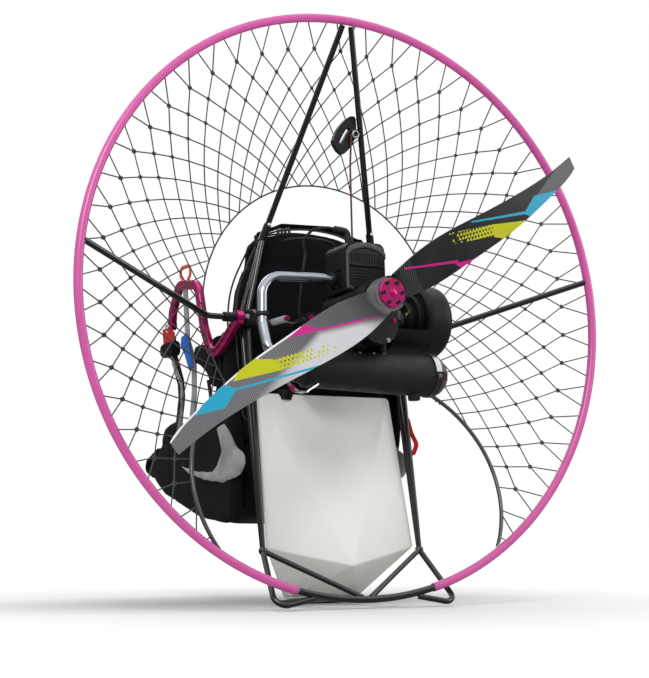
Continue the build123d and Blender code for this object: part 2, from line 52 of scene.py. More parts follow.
# The machine is drawn upright in millimetres, x to the right seen from behind, y to the pilot's side, z up,
# with the floor point under the hoop's centre as origin. MACHINE leans it and puts it where it stands.
LEAN = Matrix.Rotation(radians(-3.8), 4, "X")
HUB = Vector((0, -0.144, 0.726))
spin_joint = next(j for j in frame["joints"] if j["name"] == "propeller_spin")
STANDING = Matrix.Translation(Vector(spin_joint["pos_m"]) - LEAN @ HUB)
MACHINE = STANDING @ LEAN @ Matrix.Scale(0.001, 4)

# Planes to draw outlines in: ALONG_X takes (y, z) and thickens along x, BEHIND takes (x, z) and thickens
# along y.
ALONG_X = Matrix(((0, 0, 1, 0), (1, 0, 0, 0), (0, 1, 0, 0), (0, 0, 0, 1)))
BEHIND = Matrix(((1, 0, 0, 0), (0, 0, 1, 0), (0, 1, 0, 0), (0, 0, 0, 1)))
BACKWARDS = (0, -1, 0)
FORWARDS = (0, 1, 0)

# Upper and lower hoop tubes meet SPLIT_ANGLE degrees above the middle; the lower ones end BASE_ANGLE
# degrees beside the lowest point.
HOOP_R = 712.5
HOOP_Z = 735
HOOP_TUBE_R = 10.6
SPLIT_ANGLE = 7.8
BASE_ANGLE = 15.1
PROP_Z = 726
PROP_ANGLE = 33.2
PLATE_REAR = -170
BOLT_CIRCLE_R = 26


# Shapes

def edges_of(made):
    return list(dict.fromkeys(edge for vert in made["verts"] for edge in vert.link_edges))


def facing(centre, direction):
    turn = Vector(direction).to_track_quat("Z", "Y").to_matrix().to_4x4()
    return Matrix.Translation(Vector(centre)) @ turn


def hoop_of(bm, centre, direction, radius, sides):
    place = facing(centre, direction)
    made = bmesh.ops.create_circle(bm, cap_ends=False, segments=sides, radius=radius, matrix=place)
    return edges_of(made)


def with_verts(edges):
    return list(dict.fromkeys(vert for edge in edges for vert in edge.verts)) + list(edges)


def pushed(bm, edges, offset):
    """Extrudes a loop of edges by an offset and gives the new loop."""
    made = bmesh.ops.extrude_edge_only(bm, edges=edges)["geom"]
    verts = [g for g in made if isinstance(g, bmesh.types.BMVert)]
    bmesh.ops.translate(bm, verts=verts, vec=offset)
    fresh = set(verts)
    return [g for g in made if isinstance(g, bmesh.types.BMEdge) and set(g.verts) <= fresh]


def swung(bm, edges, hinge, axis, turn, steps):
    spun = bmesh.ops.spin(bm, geom=with_verts(edges), cent=hinge, axis=axis, angle=turn, steps=steps)
    return [g for g in spun["geom_last"] if isinstance(g, bmesh.types.BMEdge)]


def bent(bm, edges, points, bends, step=8):
    """Carries a loop along straight runs joined by tangent arcs."""
    points = [Vector(p) for p in points]
    here = points[0]
    for before, corner, after, radius in zip(points, points[1:], points[2:], bends):
        arrive = (corner - before).normalized()
        leave = (after - corner).normalized()
        turn = arrive.angle(leave)
        reach = radius * tan(turn / 2)
        start = corner - arrive * reach
        edges = pushed(bm, edges, start - here)
        side = (leave - arrive * arrive.dot(leave)).normalized()
        steps = max(2, ceil(degrees(turn) / step))
        edges = swung(bm, edges, start + side * radius, arrive.cross(leave), turn, steps)
        here = corner + leave * reach
    return pushed(bm, edges, points[-1] - here)


def tube(bm, points, diameter, bends=(), sides=20):
    heading = Vector(points[1]) - Vector(points[0])
    first = hoop_of(bm, points[0], heading, diameter / 2, sides)
    last = bent(bm, first, points, bends)
    for edges in (first, last):
        bmesh.ops.contextual_create(bm, geom=edges)


def whole_turn(bm, geom, centre, axis, steps):
    bmesh.ops.spin(bm, geom=geom, cent=centre, axis=axis, angle=2 * pi, steps=steps, use_merge=True)


def turned(bm, profile, centre, axis, steps=40):
    """A turned shape from radii and heights along its axis."""
    axis = Vector(axis).normalized()
    side = axis.orthogonal().normalized()
    verts = [bm.verts.new(Vector(centre) + side * r + axis * h) for r, h in profile]
    edges = [bm.edges.new(pair) for pair in zip(verts, verts[1:])]
    whole_turn(bm, verts + edges, centre, axis, steps)
    bmesh.ops.remove_doubles(bm, verts=bm.verts, dist=0.0005)


def rounded(bm, edges, radius, segments, **more):
    settings = {"segments": segments, "affect": "EDGES", "profile": 0.5, "material": -1, **more}
    bmesh.ops.bevel(bm, geom=edges, offset=radius, **settings)


def block(bm, centre, size, round_off=0, turn=None, segments=2):
    place = Matrix.Translation(Vector(centre)) @ (turn or Matrix()) @ Matrix.Diagonal((*size, 1))
    made = bmesh.ops.create_cube(bm, size=1, matrix=place)
    if round_off:
        rounded(bm, edges_of(made), round_off, segments)


def slab(bm, outline, thickness, place, round_off=0, segments=2):
    """A flat plate from its outline, drawn in the x-y plane of place and thickened along z."""
    verts = [bm.verts.new(place @ Vector((x, y, 0))) for x, y in outline]
    face = bm.faces.new(verts)
    made = bmesh.ops.extrude_face_region(bm, geom=[face])["geom"]
    top = [g for g in made if isinstance(g, bmesh.types.BMVert)]
    offset = place.to_3x3() @ Vector((0, 0, thickness))
    bmesh.ops.translate(bm, verts=top, vec=offset)
    if round_off:
        rims = list(dict.fromkeys(edge for vert in verts + top for edge in vert.link_edges))
        rounded(bm, rims, round_off, segments)


def fitted(name, bm, finish, body, instead_of=(), crease=34):
    """Puts a shape that was drawn in the machine frame in its place as a piece."""
    bm.transform(MACHINE)
    bmesh.ops.recalc_face_normals(bm, faces=bm.faces)
    for face in bm.faces:
        face.smooth = True
    for edge in bm.edges:
        edge.smooth = edge.calc_face_angle(0) < radians(crease)
    mesh = bpy.data.meshes.new(name)
    bm.to_mesh(mesh)
    bm.free()
    piece = bpy.data.objects.new(name, mesh)
    bpy.context.collection.objects.link(piece)
    mesh.materials.append(finish)
    held(piece, body, instead_of)


def held(piece, body, instead_of):
    """Fastens a piece to its body. Where body is a tuple naming two bodies and their blend, the piece is only
    baked in place and fastened to neither.
    """
    if isinstance(body, tuple):
        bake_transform(piece)
    else:
        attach(piece, body)
    if instead_of:
        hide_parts(*instead_of)


# Finishes

def linear(red, green, blue):
    """A colour as seen on a screen, 0 to 255, as Blender's linear values."""
    values = []
    for value in (red, green, blue):
        value /= 255
        values.append(value / 12.92 if value <= 0.04045 else ((value + 0.055) / 1.055) ** 2.4)
    return (*values, 1)


class Nodes:
    """A node tree whose nodes are added and joined by short calls."""

    def __init__(self, tree):
        self.tree = tree

    def node(self, kind, inputs=None, **settings):
        made = self.tree.nodes.new("ShaderNode" + kind)
        for key, value in settings.items():
            setattr(made, key, value)
        for socket, value in (inputs or {}).items():
            self.feed(made.inputs[socket], value)
        return made

    def feed(self, socket, value):
        if isinstance(value, bpy.types.NodeSocket):
            self.tree.links.new(value, socket)
        else:
            socket.default_value = value

    def maths(self, operation, a, b=0.5, c=0.5):
        return self.node("Math", {0: a, 1: b, 2: c}, operation=operation).outputs[0]

    def dot(self, a, b):
        return self.node("VectorMath", {0: a, 1: b}, operation="DOT_PRODUCT").outputs["Value"]

    def length(self, a):
        return self.node("VectorMath", {0: a}, operation="LENGTH").outputs["Value"]

    def vector(self, operation, a, b):
        return self.node("VectorMath", {0: a, 1: b}, operation=operation).outputs[0]

    def span(self, value, low, high, start=0.3, end=0.7):
        inputs = {"Value": value, "From Min": start, "From Max": end, "To Min": low, "To Max": high}
        return self.node("MapRange", inputs).outputs["Result"]

    def mixed(self, share, first, second):
        inputs = {0: share, 6: first, 7: second}
        return self.node("Mix", inputs, data_type="RGBA").outputs[2]


class Finish(Nodes):
    """A material whose patterns lie in the machine's own space."""

    def __init__(self, name):
        self.material = bpy.data.materials.new(name)
        self.material.use_nodes = True
        super().__init__(self.material.node_tree)
        self.shader = self.tree.nodes["Principled BSDF"]
        self.place = self.node("TexCoord").outputs["Object"]

    def set(self, **sockets):
        for name, value in sockets.items():
            self.feed(self.shader.inputs[name.replace("_", " ")], value)
        return self

    def noise(self, scale, detail=3, rough=0.55):
        inputs = {"Vector": self.place, "Scale": scale, "Detail": detail, "Roughness": rough}
        return self.node("TexNoise", inputs).outputs["Fac"]

    def bump(self, height, distance, strength=0.6):
        made = self.node("Bump", {"Height": height, "Distance": distance, "Strength": strength})
        self.feed(self.shader.inputs["Normal"], made.outputs[0])


def scaled(colour, share):
    return (*[min(1, value * share) for value in colour[:3]], 1)


def coated(name, colour, rough=0.3, metallic=0.0, vary=0.12, grain=900, depth=0.00006, spread=0.08):
    """Paint, plastic or cast metal: a slightly uneven colour and gloss over a fine surface."""
    finish = Finish(name)
    cloud = finish.noise(9, 4)
    fine = finish.noise(grain, 2)
    tone = finish.mixed(finish.span(cloud, 0, 1), scaled(colour, 1 - vary), scaled(colour, 1 + vary))
    gloss = finish.span(finish.noise(38, 5), rough - spread, rough + spread)
    finish.set(Base_Color=tone, Roughness=gloss, Metallic=metallic)
    finish.bump(fine, depth)
    return finish


def woven(name, colour, threads=900, rough=0.9, depth=0.0004, sheen=0.08):
    """Woven nylon: crossing threads, darker between them as painted shade, with a soft sheen."""
    finish = Finish(name)
    bands = []
    for axis in ("X", "Y", "Z"):
        inputs = {"Vector": finish.place, "Scale": threads / 6.3, "Distortion": 0.6, "Detail": 1.0}
        wave = finish.node("TexWave", inputs, wave_type="BANDS", bands_direction=axis)
        bands.append(wave.outputs["Fac"])
    cross = finish.maths("MULTIPLY", finish.maths("MAXIMUM", bands[0], bands[1]), bands[2])
    cloud = finish.noise(14, 5, 0.6)
    tone = finish.mixed(finish.span(cloud, 0, 1), scaled(colour, 0.7), scaled(colour, 1.35))
    # Painted shade between the threads: the colour darkens where the crossed bands run high.
    tone = finish.mixed(finish.span(cross, 0, 0.45, 0, 1), tone, scaled(colour, 0.45))
    finish.set(Base_Color=tone, Roughness=rough, Specular_IOR_Level=0.1)
    finish.set(Sheen_Weight=sheen, Sheen_Roughness=0.45)
    finish.bump(cross, depth, 0.5)
    return finish.material


def pink_powder_coat():
    finish = coated("pink_powder_coat", linear(206, 84, 160), 0.34, 0.0, 0.05, 1600, 0.00003, 0.05)
    return finish.set(Coat_Weight=0.35, Coat_Roughness=0.22).material


def black_coat(name, rough, shade=12):
    finish = coated(name, linear(shade, shade, shade + 1), rough, 0.0, 0.15, 1500, 0.00003, 0.05)
    return finish.set(Coat_Weight=0.6, Coat_Roughness=0.08).material


def cast_metal(name, colour, rough=0.45, metallic=0.7):
    return coated(name, colour, rough, metallic, 0.18, 700, 0.0002, 0.1).material


def moulded(name, colour, rough, vary, shine):
    finish = coated(name, colour, rough, 0.0, vary, 600, 0.0002, 0.08)
    return finish.set(Specular_IOR_Level=shine).material


def bright_metal(name, colour, rough):
    return coated(name, colour, rough, 1.0, 0.06, 500, 0.00002, 0.05).material


def anodised():
    finish = coated("magenta_anodised", linear(206, 26, 118), 0.2, 0.75, 0.08, 1200, 0.00002, 0.05)
    return finish.set(Coat_Weight=0.5, Coat_Roughness=0.15).material


def blown_plastic():
    """Milky tank plastic with a fine orange peel."""
    finish = Finish("tank_plastic")
    cloud = finish.noise(5, 3)
    pale = finish.mixed(finish.span(cloud, 0, 1), linear(244, 245, 239), linear(236, 237, 231))
    finish.set(Base_Color=pale, Roughness=finish.span(finish.noise(30, 4), 0.36, 0.5))
    finish.set(Subsurface_Weight=0.25, Subsurface_Radius=(0.02, 0.02, 0.018), Subsurface_Scale=0.6)
    finish.bump(finish.noise(260, 2), 0.0002, 0.4)
    return finish.material


def heat_paint():
    return coated("heat_paint", linear(20, 20, 20), 0.6, 0.1, 0.2, 800, 0.0002, 0.1).material


def carbon_weave(name, dark, light, rough=0.25):
    """Twill carbon laminate under clear resin."""
    finish = Finish(name)
    inputs = {"Vector": finish.place, "Scale": 220.0, "Distortion": 0.0}
    first = finish.node("TexWave", inputs, wave_type="BANDS", bands_direction="DIAGONAL").outputs["Fac"]
    tone = finish.mixed(finish.span(first, 0, 1, 0.3, 0.7), dark, light)
    finish.set(Base_Color=tone, Roughness=rough, Coat_Weight=0.8, Coat_Roughness=0.06)
    finish.bump(finish.noise(60, 3), 0.0002, 0.2)
    return finish.material


def braid(name, colour, threads=1400, rough=0.7):
    finish = Finish(name)
    twist = finish.noise(threads, 2)
    tone = finish.mixed(finish.span(twist, 0, 1), scaled(colour, 0.7), scaled(colour, 1.3))
    finish.set(Base_Color=tone, Roughness=rough)
    finish.bump(twist, 0.0003, 0.6)
    return finish.material


# Propeller finish: bars laid out in millimetres on the propeller's plane, first along the black blade
# from the hub, then across it. The silver blade lies on the minus side.

MAGENTA_BARS = [
    [(61, 33), (63, 28), (222, -35), (224, -29)],
    [(211, -31), (286, -55), (236, -64)],
    [(-37, -39), (-39, -34), (-214, 27), (-212, 21)],
    [(-208, 21), (-226, 51), (-288, 47)],
]
CYAN_BARS = [
    [(299, 34), (302, 29), (467, -31), (469, -24)],
    [(463, -28), (515, -5), (596, -29), (494, -56)],
    [(-261, -48), (-263, -42), (-468, 21), (-466, 15)],
    [(-466, 19), (-496, 53), (-588, 23), (-519, -1)],
]
YELLOW_BARS = [
    [(358, -4), (466, -47), (393, -61), (351, -34)],
    [(-464, 37), (-405, 62), (-351, 28), (-346, -4)],
]
SCATTER_BARS = [
    [(218, 42), (228, 10), (353, -31), (361, -5)],
    [(-192, -17), (-181, -45), (-348, -2), (-353, 26)],
]
# Painted sheen: where the black blade's outer part is lightened towards grey.
PAINTED_SHEEN_FIELDS = [
    [(374, 13), (467, -24), (515, -3), (596, -49), (717, -28), (716, 52), (616, 21)],
]
EDGE_LINES = [
    [(-240, 70), (-240, 48), (-390, 47), (-390, 70)],
    [(-390, 70), (-390, 47), (-470, 41), (-470, 70)],
    [(-470, 70), (-470, 41), (-560, 29), (-560, 70)],
    [(-560, 70), (-560, 29), (-620, 19), (-620, 70)],
    [(-620, 70), (-620, 19), (-690, -2), (-690, 70)],
]
ROOT_RIBS = [
    [(46, 42), (46, -60), (106, -60), (84, 42)],
]


def field(finish, spot, corners):
    """One inside a convex outline on the propeller's plane, nought outside."""
    corners = [Vector(corner) / 1000 for corner in corners]
    centre = sum(corners, Vector((0, 0))) / len(corners)
    inside = 1.0
    for start, end in zip(corners, corners[1:] + corners[:1]):
        inward = Vector((end.y - start.y, start.x - end.x)).normalized()
        if inward.dot(centre - start) < 0:
            inward = -inward
        reach = finish.dot(spot, (*inward, 0))
        inside = finish.maths("MULTIPLY", inside, finish.maths("GREATER_THAN", reach, inward.dot(start)))
    return inside


def fields(finish, spot, outlines):
    both = 0.0
    for corners in outlines:
        both = finish.maths("MAXIMUM", both, field(finish, spot, corners))
    return both


def triangle_scatter(finish, spot):
    """Small triangles in staggered rows that shrink and thin out towards the hub."""
    rows = {"Vector": spot, "Rotation": (0, 0, radians(17)), "Scale": (96, 108, 0)}
    across = finish.node("SeparateXYZ", {0: finish.node("Mapping", rows).outputs[0]})
    row = finish.maths("FLOOR", across.outputs["Y"])
    shifted = finish.maths("ADD", across.outputs["X"], finish.maths("MULTIPLY", row, 0.5))
    cell = finish.node("CombineXYZ", {0: finish.maths("FLOOR", shifted), 1: row, 2: 0.0}).outputs[0]
    chance = finish.node("TexWhiteNoise", {"Vector": cell}, noise_dimensions="3D").outputs["Value"]
    away = finish.maths("ABSOLUTE", finish.node("SeparateXYZ", {0: spot}).outputs["X"])
    near_bar = finish.span(away, 0, 1, 0.2, 0.34)
    slope = finish.maths("ABSOLUTE", finish.maths("SUBTRACT", finish.maths("FRACT", shifted), 0.5))
    rise = finish.maths("FRACT", across.outputs["Y"])
    height = finish.maths("ADD", rise, finish.maths("MULTIPLY", slope, 2.0))
    shape = finish.maths("LESS_THAN", height, finish.span(near_bar, 0.62, 1.35, 0, 1))
    kept = finish.maths("LESS_THAN", chance, finish.span(near_bar, 0.3, 1.5, 0, 1))
    return finish.maths("MULTIPLY", shape, kept)


def silver_blade(finish, axes, spot):
    """Silver-grey carbon with a fine hatch, a painted glare towards the tip and a pale edge."""
    lines = {"Scale": 74.0, "Distortion": 0.0, "Detail": 0.0}
    lines["Vector"] = finish.node("Mapping", {"Vector": spot, "Rotation": (0, 0, radians(62))}).outputs[0]
    hatch = finish.node("TexWave", lines, wave_type="BANDS", bands_direction="X").outputs["Fac"]
    reach = finish.maths("MULTIPLY", axes[0], -1.0)
    grey = finish.mixed(finish.span(hatch, 0, 1, 0.2, 0.8), linear(84, 84, 87), linear(120, 120, 123))
    root = finish.mixed(finish.span(hatch, 0, 1, 0.2, 0.8), linear(62, 62, 64), linear(84, 84, 86))
    silver = finish.mixed(finish.span(reach, 0, 1, 0.14, 0.34), root, grey)
    rising = finish.maths("SUBTRACT", finish.maths("MULTIPLY", reach, 0.343), 0.049)
    falling = finish.maths("SUBTRACT", 0.0645, finish.maths("MULTIPLY", reach, 0.19))
    below = finish.maths("SUBTRACT", finish.maths("MINIMUM", rising, falling), axes[1])
    outwards = finish.span(reach, 1, 0, 0.3, 0.52)
    # Painted highlight: the colour is lightened towards pale silver below a bent line across the blade, fading out
    # between 0.3 and 0.52 m out.
    painted_glare = finish.maths("MULTIPLY", finish.span(below, 0, 1, 0.0, 0.016), outwards)
    silver = finish.mixed(finish.maths("MULTIPLY", painted_glare, 0.9), silver, linear(206, 206, 210))
    return finish.mixed(fields(finish, spot, EDGE_LINES), silver, linear(230, 230, 232))


def black_blade(finish, axes, spot):
    """Black carbon with bowed ribs at its root and a soft painted sheen on its outer half."""
    cloud = finish.span(finish.noise(14, 3), 0, 1)
    black = finish.mixed(cloud, linear(24, 23, 25), linear(36, 34, 37))
    bow = finish.maths("MULTIPLY", finish.maths("MULTIPLY", axes[1], axes[1]), 5.0)
    ribs = finish.maths("SINE", finish.maths("MULTIPLY", finish.maths("SUBTRACT", axes[0], bow), 1000.0))
    rib_share = finish.maths("MULTIPLY", fields(finish, spot, ROOT_RIBS), finish.span(ribs, 0, 1, 0.55, 0.9))
    black = finish.mixed(finish.maths("MULTIPLY", rib_share, 0.6), black, linear(104, 104, 105))
    # Painted highlight: the black is lightened towards grey over the sheen field.
    sheen = finish.maths("MULTIPLY", fields(finish, spot, PAINTED_SHEEN_FIELDS), 0.8)
    return finish.mixed(sheen, black, linear(98, 97, 99))


def blade_paint():
    """One black and one silver-grey carbon blade with plain bars on their rear faces."""
    finish = Finish("carbon_blades")
    turn = Matrix.Rotation(radians(PROP_ANGLE), 3, "Y") @ LEAN.to_3x3().inverted()
    moved = finish.vector("SUBTRACT", finish.place, Vector(spin_joint["pos_m"]))
    axes = [finish.dot(moved, turn[row]) for row in (0, 2)]
    spot = finish.node("CombineXYZ", {0: axes[0], 1: axes[1]}).outputs[0]
    normal = finish.tree.nodes["Texture Coordinate"].outputs["Normal"]
    rear = finish.maths("GREATER_THAN", finish.dot(normal, -Vector(spin_joint["axis"])), 0.2)
    black_side = finish.maths("GREATER_THAN", axes[0], -0.02)
    tone = finish.mixed(black_side, silver_blade(finish, axes, spot), black_blade(finish, axes, spot))
    scatter = finish.maths("MULTIPLY", fields(finish, spot, SCATTER_BARS), triangle_scatter(finish, spot))
    yellow = finish.maths("MAXIMUM", fields(finish, spot, YELLOW_BARS), scatter)
    for outlines, colour in ((MAGENTA_BARS, linear(196, 12, 130)), (CYAN_BARS, linear(28, 158, 190))):
        tone = finish.mixed(finish.maths("MULTIPLY", fields(finish, spot, outlines), rear), tone, colour)
    tone = finish.mixed(finish.maths("MULTIPLY", yellow, rear), tone, linear(188, 190, 4))
    from_axis = finish.length(spot)
    near_boss = finish.span(from_axis, 0, 1, 0.046, 0.06)
    silver_root = finish.mixed(near_boss, linear(92, 92, 94), linear(34, 34, 36))
    fading = finish.span(from_axis, 1, 0, 0.058, 0.12)
    silver_side = finish.maths("SUBTRACT", 1.0, black_side)
    tone = finish.mixed(finish.maths("MULTIPLY", fading, silver_side), tone, silver_root)
    within = finish.maths("LESS_THAN", from_axis, 0.0425)
    boss = finish.maths("MULTIPLY", within, finish.maths("LESS_THAN", axes[0], 0.012))
    tone = finish.mixed(finish.maths("MULTIPLY", boss, 0.8), tone, linear(112, 112, 115))
    finish.set(Base_Color=tone, Roughness=finish.span(finish.noise(24, 3), 0.3, 0.42))
    finish.set(Coat_Weight=0.12, Coat_Roughness=0.15, Specular_IOR_Level=0.3)
    finish.bump(finish.noise(300, 2), 0.00004, 0.3)
    return finish.material


PINK = pink_powder_coat()
TUBE = black_coat("black_tube_coat", 0.32)
GLOSS = black_coat("gloss_black_tube", 0.16, 12)
ROD = black_coat("net_rod_coat", 0.4, 58)
TANK = blown_plastic()
PLASTIC = moulded("black_plastic", linear(15, 15, 16), 0.5, 0.15, 0.36)
DARK_CAST = cast_metal("dark_casting", linear(20, 20, 22), 0.55, 0.25)
BLACK_CAST = cast_metal("black_casting", linear(26, 26, 27), 0.4, 0.4)
GREY_CAST = cast_metal("grey_casting", linear(96, 96, 95))
SILVER = bright_metal("machined_silver", linear(205, 205, 207), 0.28)
PALE_METAL = coated("pale_metal", linear(196, 198, 200), 0.45, 0.2).material
CHROME = bright_metal("polished_pipe", linear(160, 166, 174), 0.16)
HEAT = heat_paint()
CARBON = carbon_weave("dark_carbon", linear(30, 20, 24), linear(66, 38, 46))
RUBBER = coated("black_rubber", linear(28, 28, 28), 0.75, 0.0, 0.15, 500, 0.0003, 0.08).material
BLADE = blade_paint()
MAGENTA = anodised()
FABRIC = woven("black_nylon", linear(14, 15, 18), sheen=0.03)
WEBBING = woven("black_webbing", linear(20, 20, 21), 500, 0.8, 0.0006, 0.05)
GREY_FABRIC = woven("pale_grey_nylon", linear(158, 158, 158))
NET = braid("net_braid", linear(66, 66, 68))
PIPING = woven("grey_piping", linear(62, 62, 64), 700, 0.7, 0.0003)
PALE_WEBBING = woven("pale_webbing", linear(150, 150, 152), 500, 0.8, 0.0006)
BOLT_BLACK = black_coat("black_bolt", 0.3, 18)
RIM_PLASTIC = moulded("rim_plastic", linear(74, 75, 76), 0.4, 0.1, 0.5)
GRILLE = black_coat("grille_mesh", 0.25, 14)
BRASS = bright_metal("brass_jet", linear(206, 190, 96), 0.3)
ORANGE = braid("orange_cord", linear(222, 92, 40))
RED_CLOTH = woven("red_tab_cloth", linear(196, 34, 40))
BLUE_CLOTH = woven("blue_tab_cloth", linear(36, 104, 190))
ROPE = braid("brown_rope", linear(84, 52, 36))

FINISHES = {
    "pink_tube": PINK, "black_tube": TUBE, "gloss_spar": GLOSS, "net_rod": ROD, "net_cord": NET,
    "tank_plastic": TANK, "black_plastic": PLASTIC, "dark_casting": DARK_CAST, "black_casting": BLACK_CAST,
    "grey_casting": GREY_CAST, "silver_metal": SILVER, "black_heat_paint": HEAT, "carbon": CARBON,
    "chrome_pipe": CHROME, "rubber_mount": RUBBER, "carbon_blade": BLADE, "magenta_anodised": MAGENTA,
    "black_fabric": FABRIC, "webbing": WEBBING, "starter_rope": ROPE,
}
for part in frame["record"]["subparts"]:
    for place in nodes[part["node"]].material_slots:
        place.material = FINISHES[part["material_slot"]]


# Guard net

NET_CELLS = 54
NET_ROWS = 10
NET_PHASE = 0.2
NET_OUTER_R = 697
NET_RING_R = 330
NET_OUTER_Y = 17
NET_RING_Y = 172
ROD_CENTRE = (133, 294)
ROD_R = 287
ROD_FOOT = (373, 131)
HALF_CELL = 180 / NET_CELLS
CORD_R = 1.6
SHORTEST_CORD = 4
LOOPED_ROWS = 4


def on_net(row, angle):
    radius = NET_OUTER_R * (NET_RING_R / NET_OUTER_R) ** (row / NET_ROWS)
    y = NET_OUTER_Y + (NET_RING_Y - NET_OUTER_Y) * (NET_OUTER_R - radius) / (NET_OUTER_R - NET_RING_R)
    return Vector((radius * cos(radians(angle)), y, HOOP_Z + radius * sin(radians(angle))))


def netted(point):
    """True outside the net rods and above their feet."""
    foot = degrees(atan2(ROD_FOOT[1] - HOOP_Z, ROD_FOOT[0]))
    side = degrees(atan2(point.z - HOOP_Z, abs(point.x)))
    return hypot(abs(point.x) - ROD_CENTRE[0], point.z - ROD_CENTRE[1]) > ROD_R + 3 and side > foot + 0.3


def trimmed(start, end):
    """The part of a cord between two knots that lies in the netted area."""
    kept = [netted(start), netted(end)]
    if not any(kept):
        return None
    if all(kept):
        return start, end
    inside, outside = (start, end) if kept[0] else (end, start)
    low, high = 0, 1
    for _ in range(12):
        middle = (low + high) / 2
        if netted(inside.lerp(outside, middle)):
            low = middle
        else:
            high = middle
    return inside, inside.lerp(outside, low)


def guard_net():
    """Cords between the knots of a spiral grid, with looped knots outside and small ones within."""
    cords = bpy.data.curves.new("net_cords", "CURVE")
    cords.dimensions = "3D"
    cords.bevel_depth = CORD_R
    cords.bevel_resolution = 1
    knots = []
    for row in range(NET_ROWS + 1):
        for cell in range(NET_CELLS):
            angle = 360 * cell / NET_CELLS - NET_PHASE + row * HALF_CELL
            here = on_net(row, angle)
            if row and row < NET_ROWS and netted(here):
                knots.append((row, here))
            if row == NET_ROWS:
                continue
            for sense in (1, -1):
                start = here
                if row == 0:
                    start = on_net(-0.14, angle + sense * HALF_CELL * 0.36)
                    start.y = 6
                run = trimmed(start, on_net(row + 1, angle + sense * HALF_CELL))
                if run is None or (run[1] - run[0]).length < SHORTEST_CORD:
                    continue
                spline = cords.splines.new("POLY")
                spline.points.add(1)
                for point, place in zip(spline.points, run):
                    point.co = (*place, 1)
    carrier = bpy.data.objects.new("net_cords", cords)
    bpy.context.collection.objects.link(carrier)
    bpy.context.view_layer.update()
    mesh = bpy.data.meshes.new_from_object(carrier.evaluated_get(bpy.context.evaluated_depsgraph_get()))
    bpy.data.objects.remove(carrier)
    bm = bmesh.new()
    bm.from_mesh(mesh)
    bpy.data.meshes.remove(mesh)
    bm.faces.ensure_lookup_table()
    for row, place in knots:
        outward = (place - Vector((0, place.y, HOOP_Z))).normalized()
        across = Vector(FORWARDS).cross(outward)
        axes = Matrix((outward, across, FORWARDS)).transposed().to_4x4()
        if row < LOOPED_ROWS:
            loop = Matrix.Translation(place) @ axes
            size = 5.0 - 0.5 * row
            rim = hoop_of(bm, loop @ Vector((size, 0, 0)), loop.to_3x3() @ Vector(FORWARDS), 2.0, 5)
            whole_turn(bm, with_verts(rim), place, FORWARDS, 6)
        else:
            shape = Matrix.Translation(place) @ axes @ Matrix.Diagonal((3.4, 2.8, 2.2, 1))
            bmesh.ops.create_icosphere(bm, subdivisions=1, radius=1.15 - 0.03 * row, matrix=shape)
    fitted("guard_net", bm, NET, "root", ("net_cords_rear", "net_cords_front"))


def guard_hoop():
    """The hoop's four tubes, drawn a little finer than the solid ones."""
    for level, first, last in (("upper", SPLIT_ANGLE, 90), ("lower", BASE_ANGLE - 90, SPLIT_ANGLE)):
        for side, hand in ((1, "right"), (-1, "left")):
            whole = "hoop_%s_%s" % (level, hand)
            start = radians(first if side == 1 else 180 - first)
            spot = (HOOP_R * cos(start), 0, HOOP_Z + HOOP_R * sin(start))
            bm = bmesh.new()
            rim = hoop_of(bm, spot, (-sin(start), 0, cos(start)), HOOP_TUBE_R, 24)
            end = swung(bm, rim, (0, 0, HOOP_Z), BACKWARDS, radians(last - first) * side, 72)
            for edges in (rim, end):
                bmesh.ops.contextual_create(bm, geom=edges)
            fitted(whole + "_tube", bm, PINK, "root", (whole,), 50)


guard_net()
guard_hoop()


# Tank

TANK_SIDE = [(188, 178, 520), (170, 212, 515), (204, 116, 150), (152, 214, 150), (96, 205, 36), (84, 262, 36)]
TANK_TOP = [(183, 172, 529), (166, 196, 527)]
TANK_MIDDLE = [(0, 176, 520), (8, 70, 104)]
NECK_X, NECK_Y, NECK_Z = (-110, 181, 514)
NECK_RIBS = 20


def tank():
    """Faceted tank with softened edges, and its ribbed filler neck."""
    corners = TANK_SIDE + TANK_TOP
    corners += [(-x, y, z) for x, y, z in corners]
    corners += TANK_MIDDLE
    bm = bmesh.new()
    for corner in corners:
        bm.verts.new(corner)
    bmesh.ops.convex_hull(bm, input=bm.verts[:])
    bmesh.ops.dissolve_limit(bm, angle_limit=radians(0.5), verts=bm.verts, edges=bm.edges)
    sharp = [e for e in bm.edges if e.calc_face_angle(0) > radians(3)]
    rounded(bm, sharp, 3, 3, clamp_overlap=True)
    fitted("fuel_tank_shell", bm, TANK, "root", ("fuel_tank",), crease=60)
    bm = bmesh.new()
    turned(bm, [(0, 0), (19, 0), (19, 9), (0, 9)], (NECK_X, NECK_Y, NECK_Z), (0, 0, 1))
    for i in range(NECK_RIBS):
        turn = Matrix.Rotation(2 * pi * i / NECK_RIBS, 4, "Z")
        spot = Vector((NECK_X, NECK_Y, NECK_Z + 16)) + turn @ Vector((21, 0, 0))
        block(bm, spot, (1.6, 2.4, 12), 0.5, turn, 1)
    fitted("tank_neck", bm, PLASTIC, "root")


tank()


# Small hardware

SHROUD_FACE = -52.5
GRILLE_RIBS = 12
MUFFLER_LEFT = Vector((-184, -45, 556))
MUFFLER_AXIS = Vector((360, 0, -3)).normalized()
MUFFLER_BAND = 350
HEADER_TUBE_R = 12.8
HEADER_ROUTE = [
    (-60, 0, 785.6), (-120, 4, 786), (-252, 4, 781), (-262, -10, 668), (-264, -40, 598), (-182, -45, 557),
]
HEADER_BENDS = (60, 56, 60, 26)
INTAKE = (30, 700)
SHEAVE = (56, 71, 1181)
ROPE_ROUTE = [(47, 77, 1180), (45, 84, 1100), (46, 92, 724)]


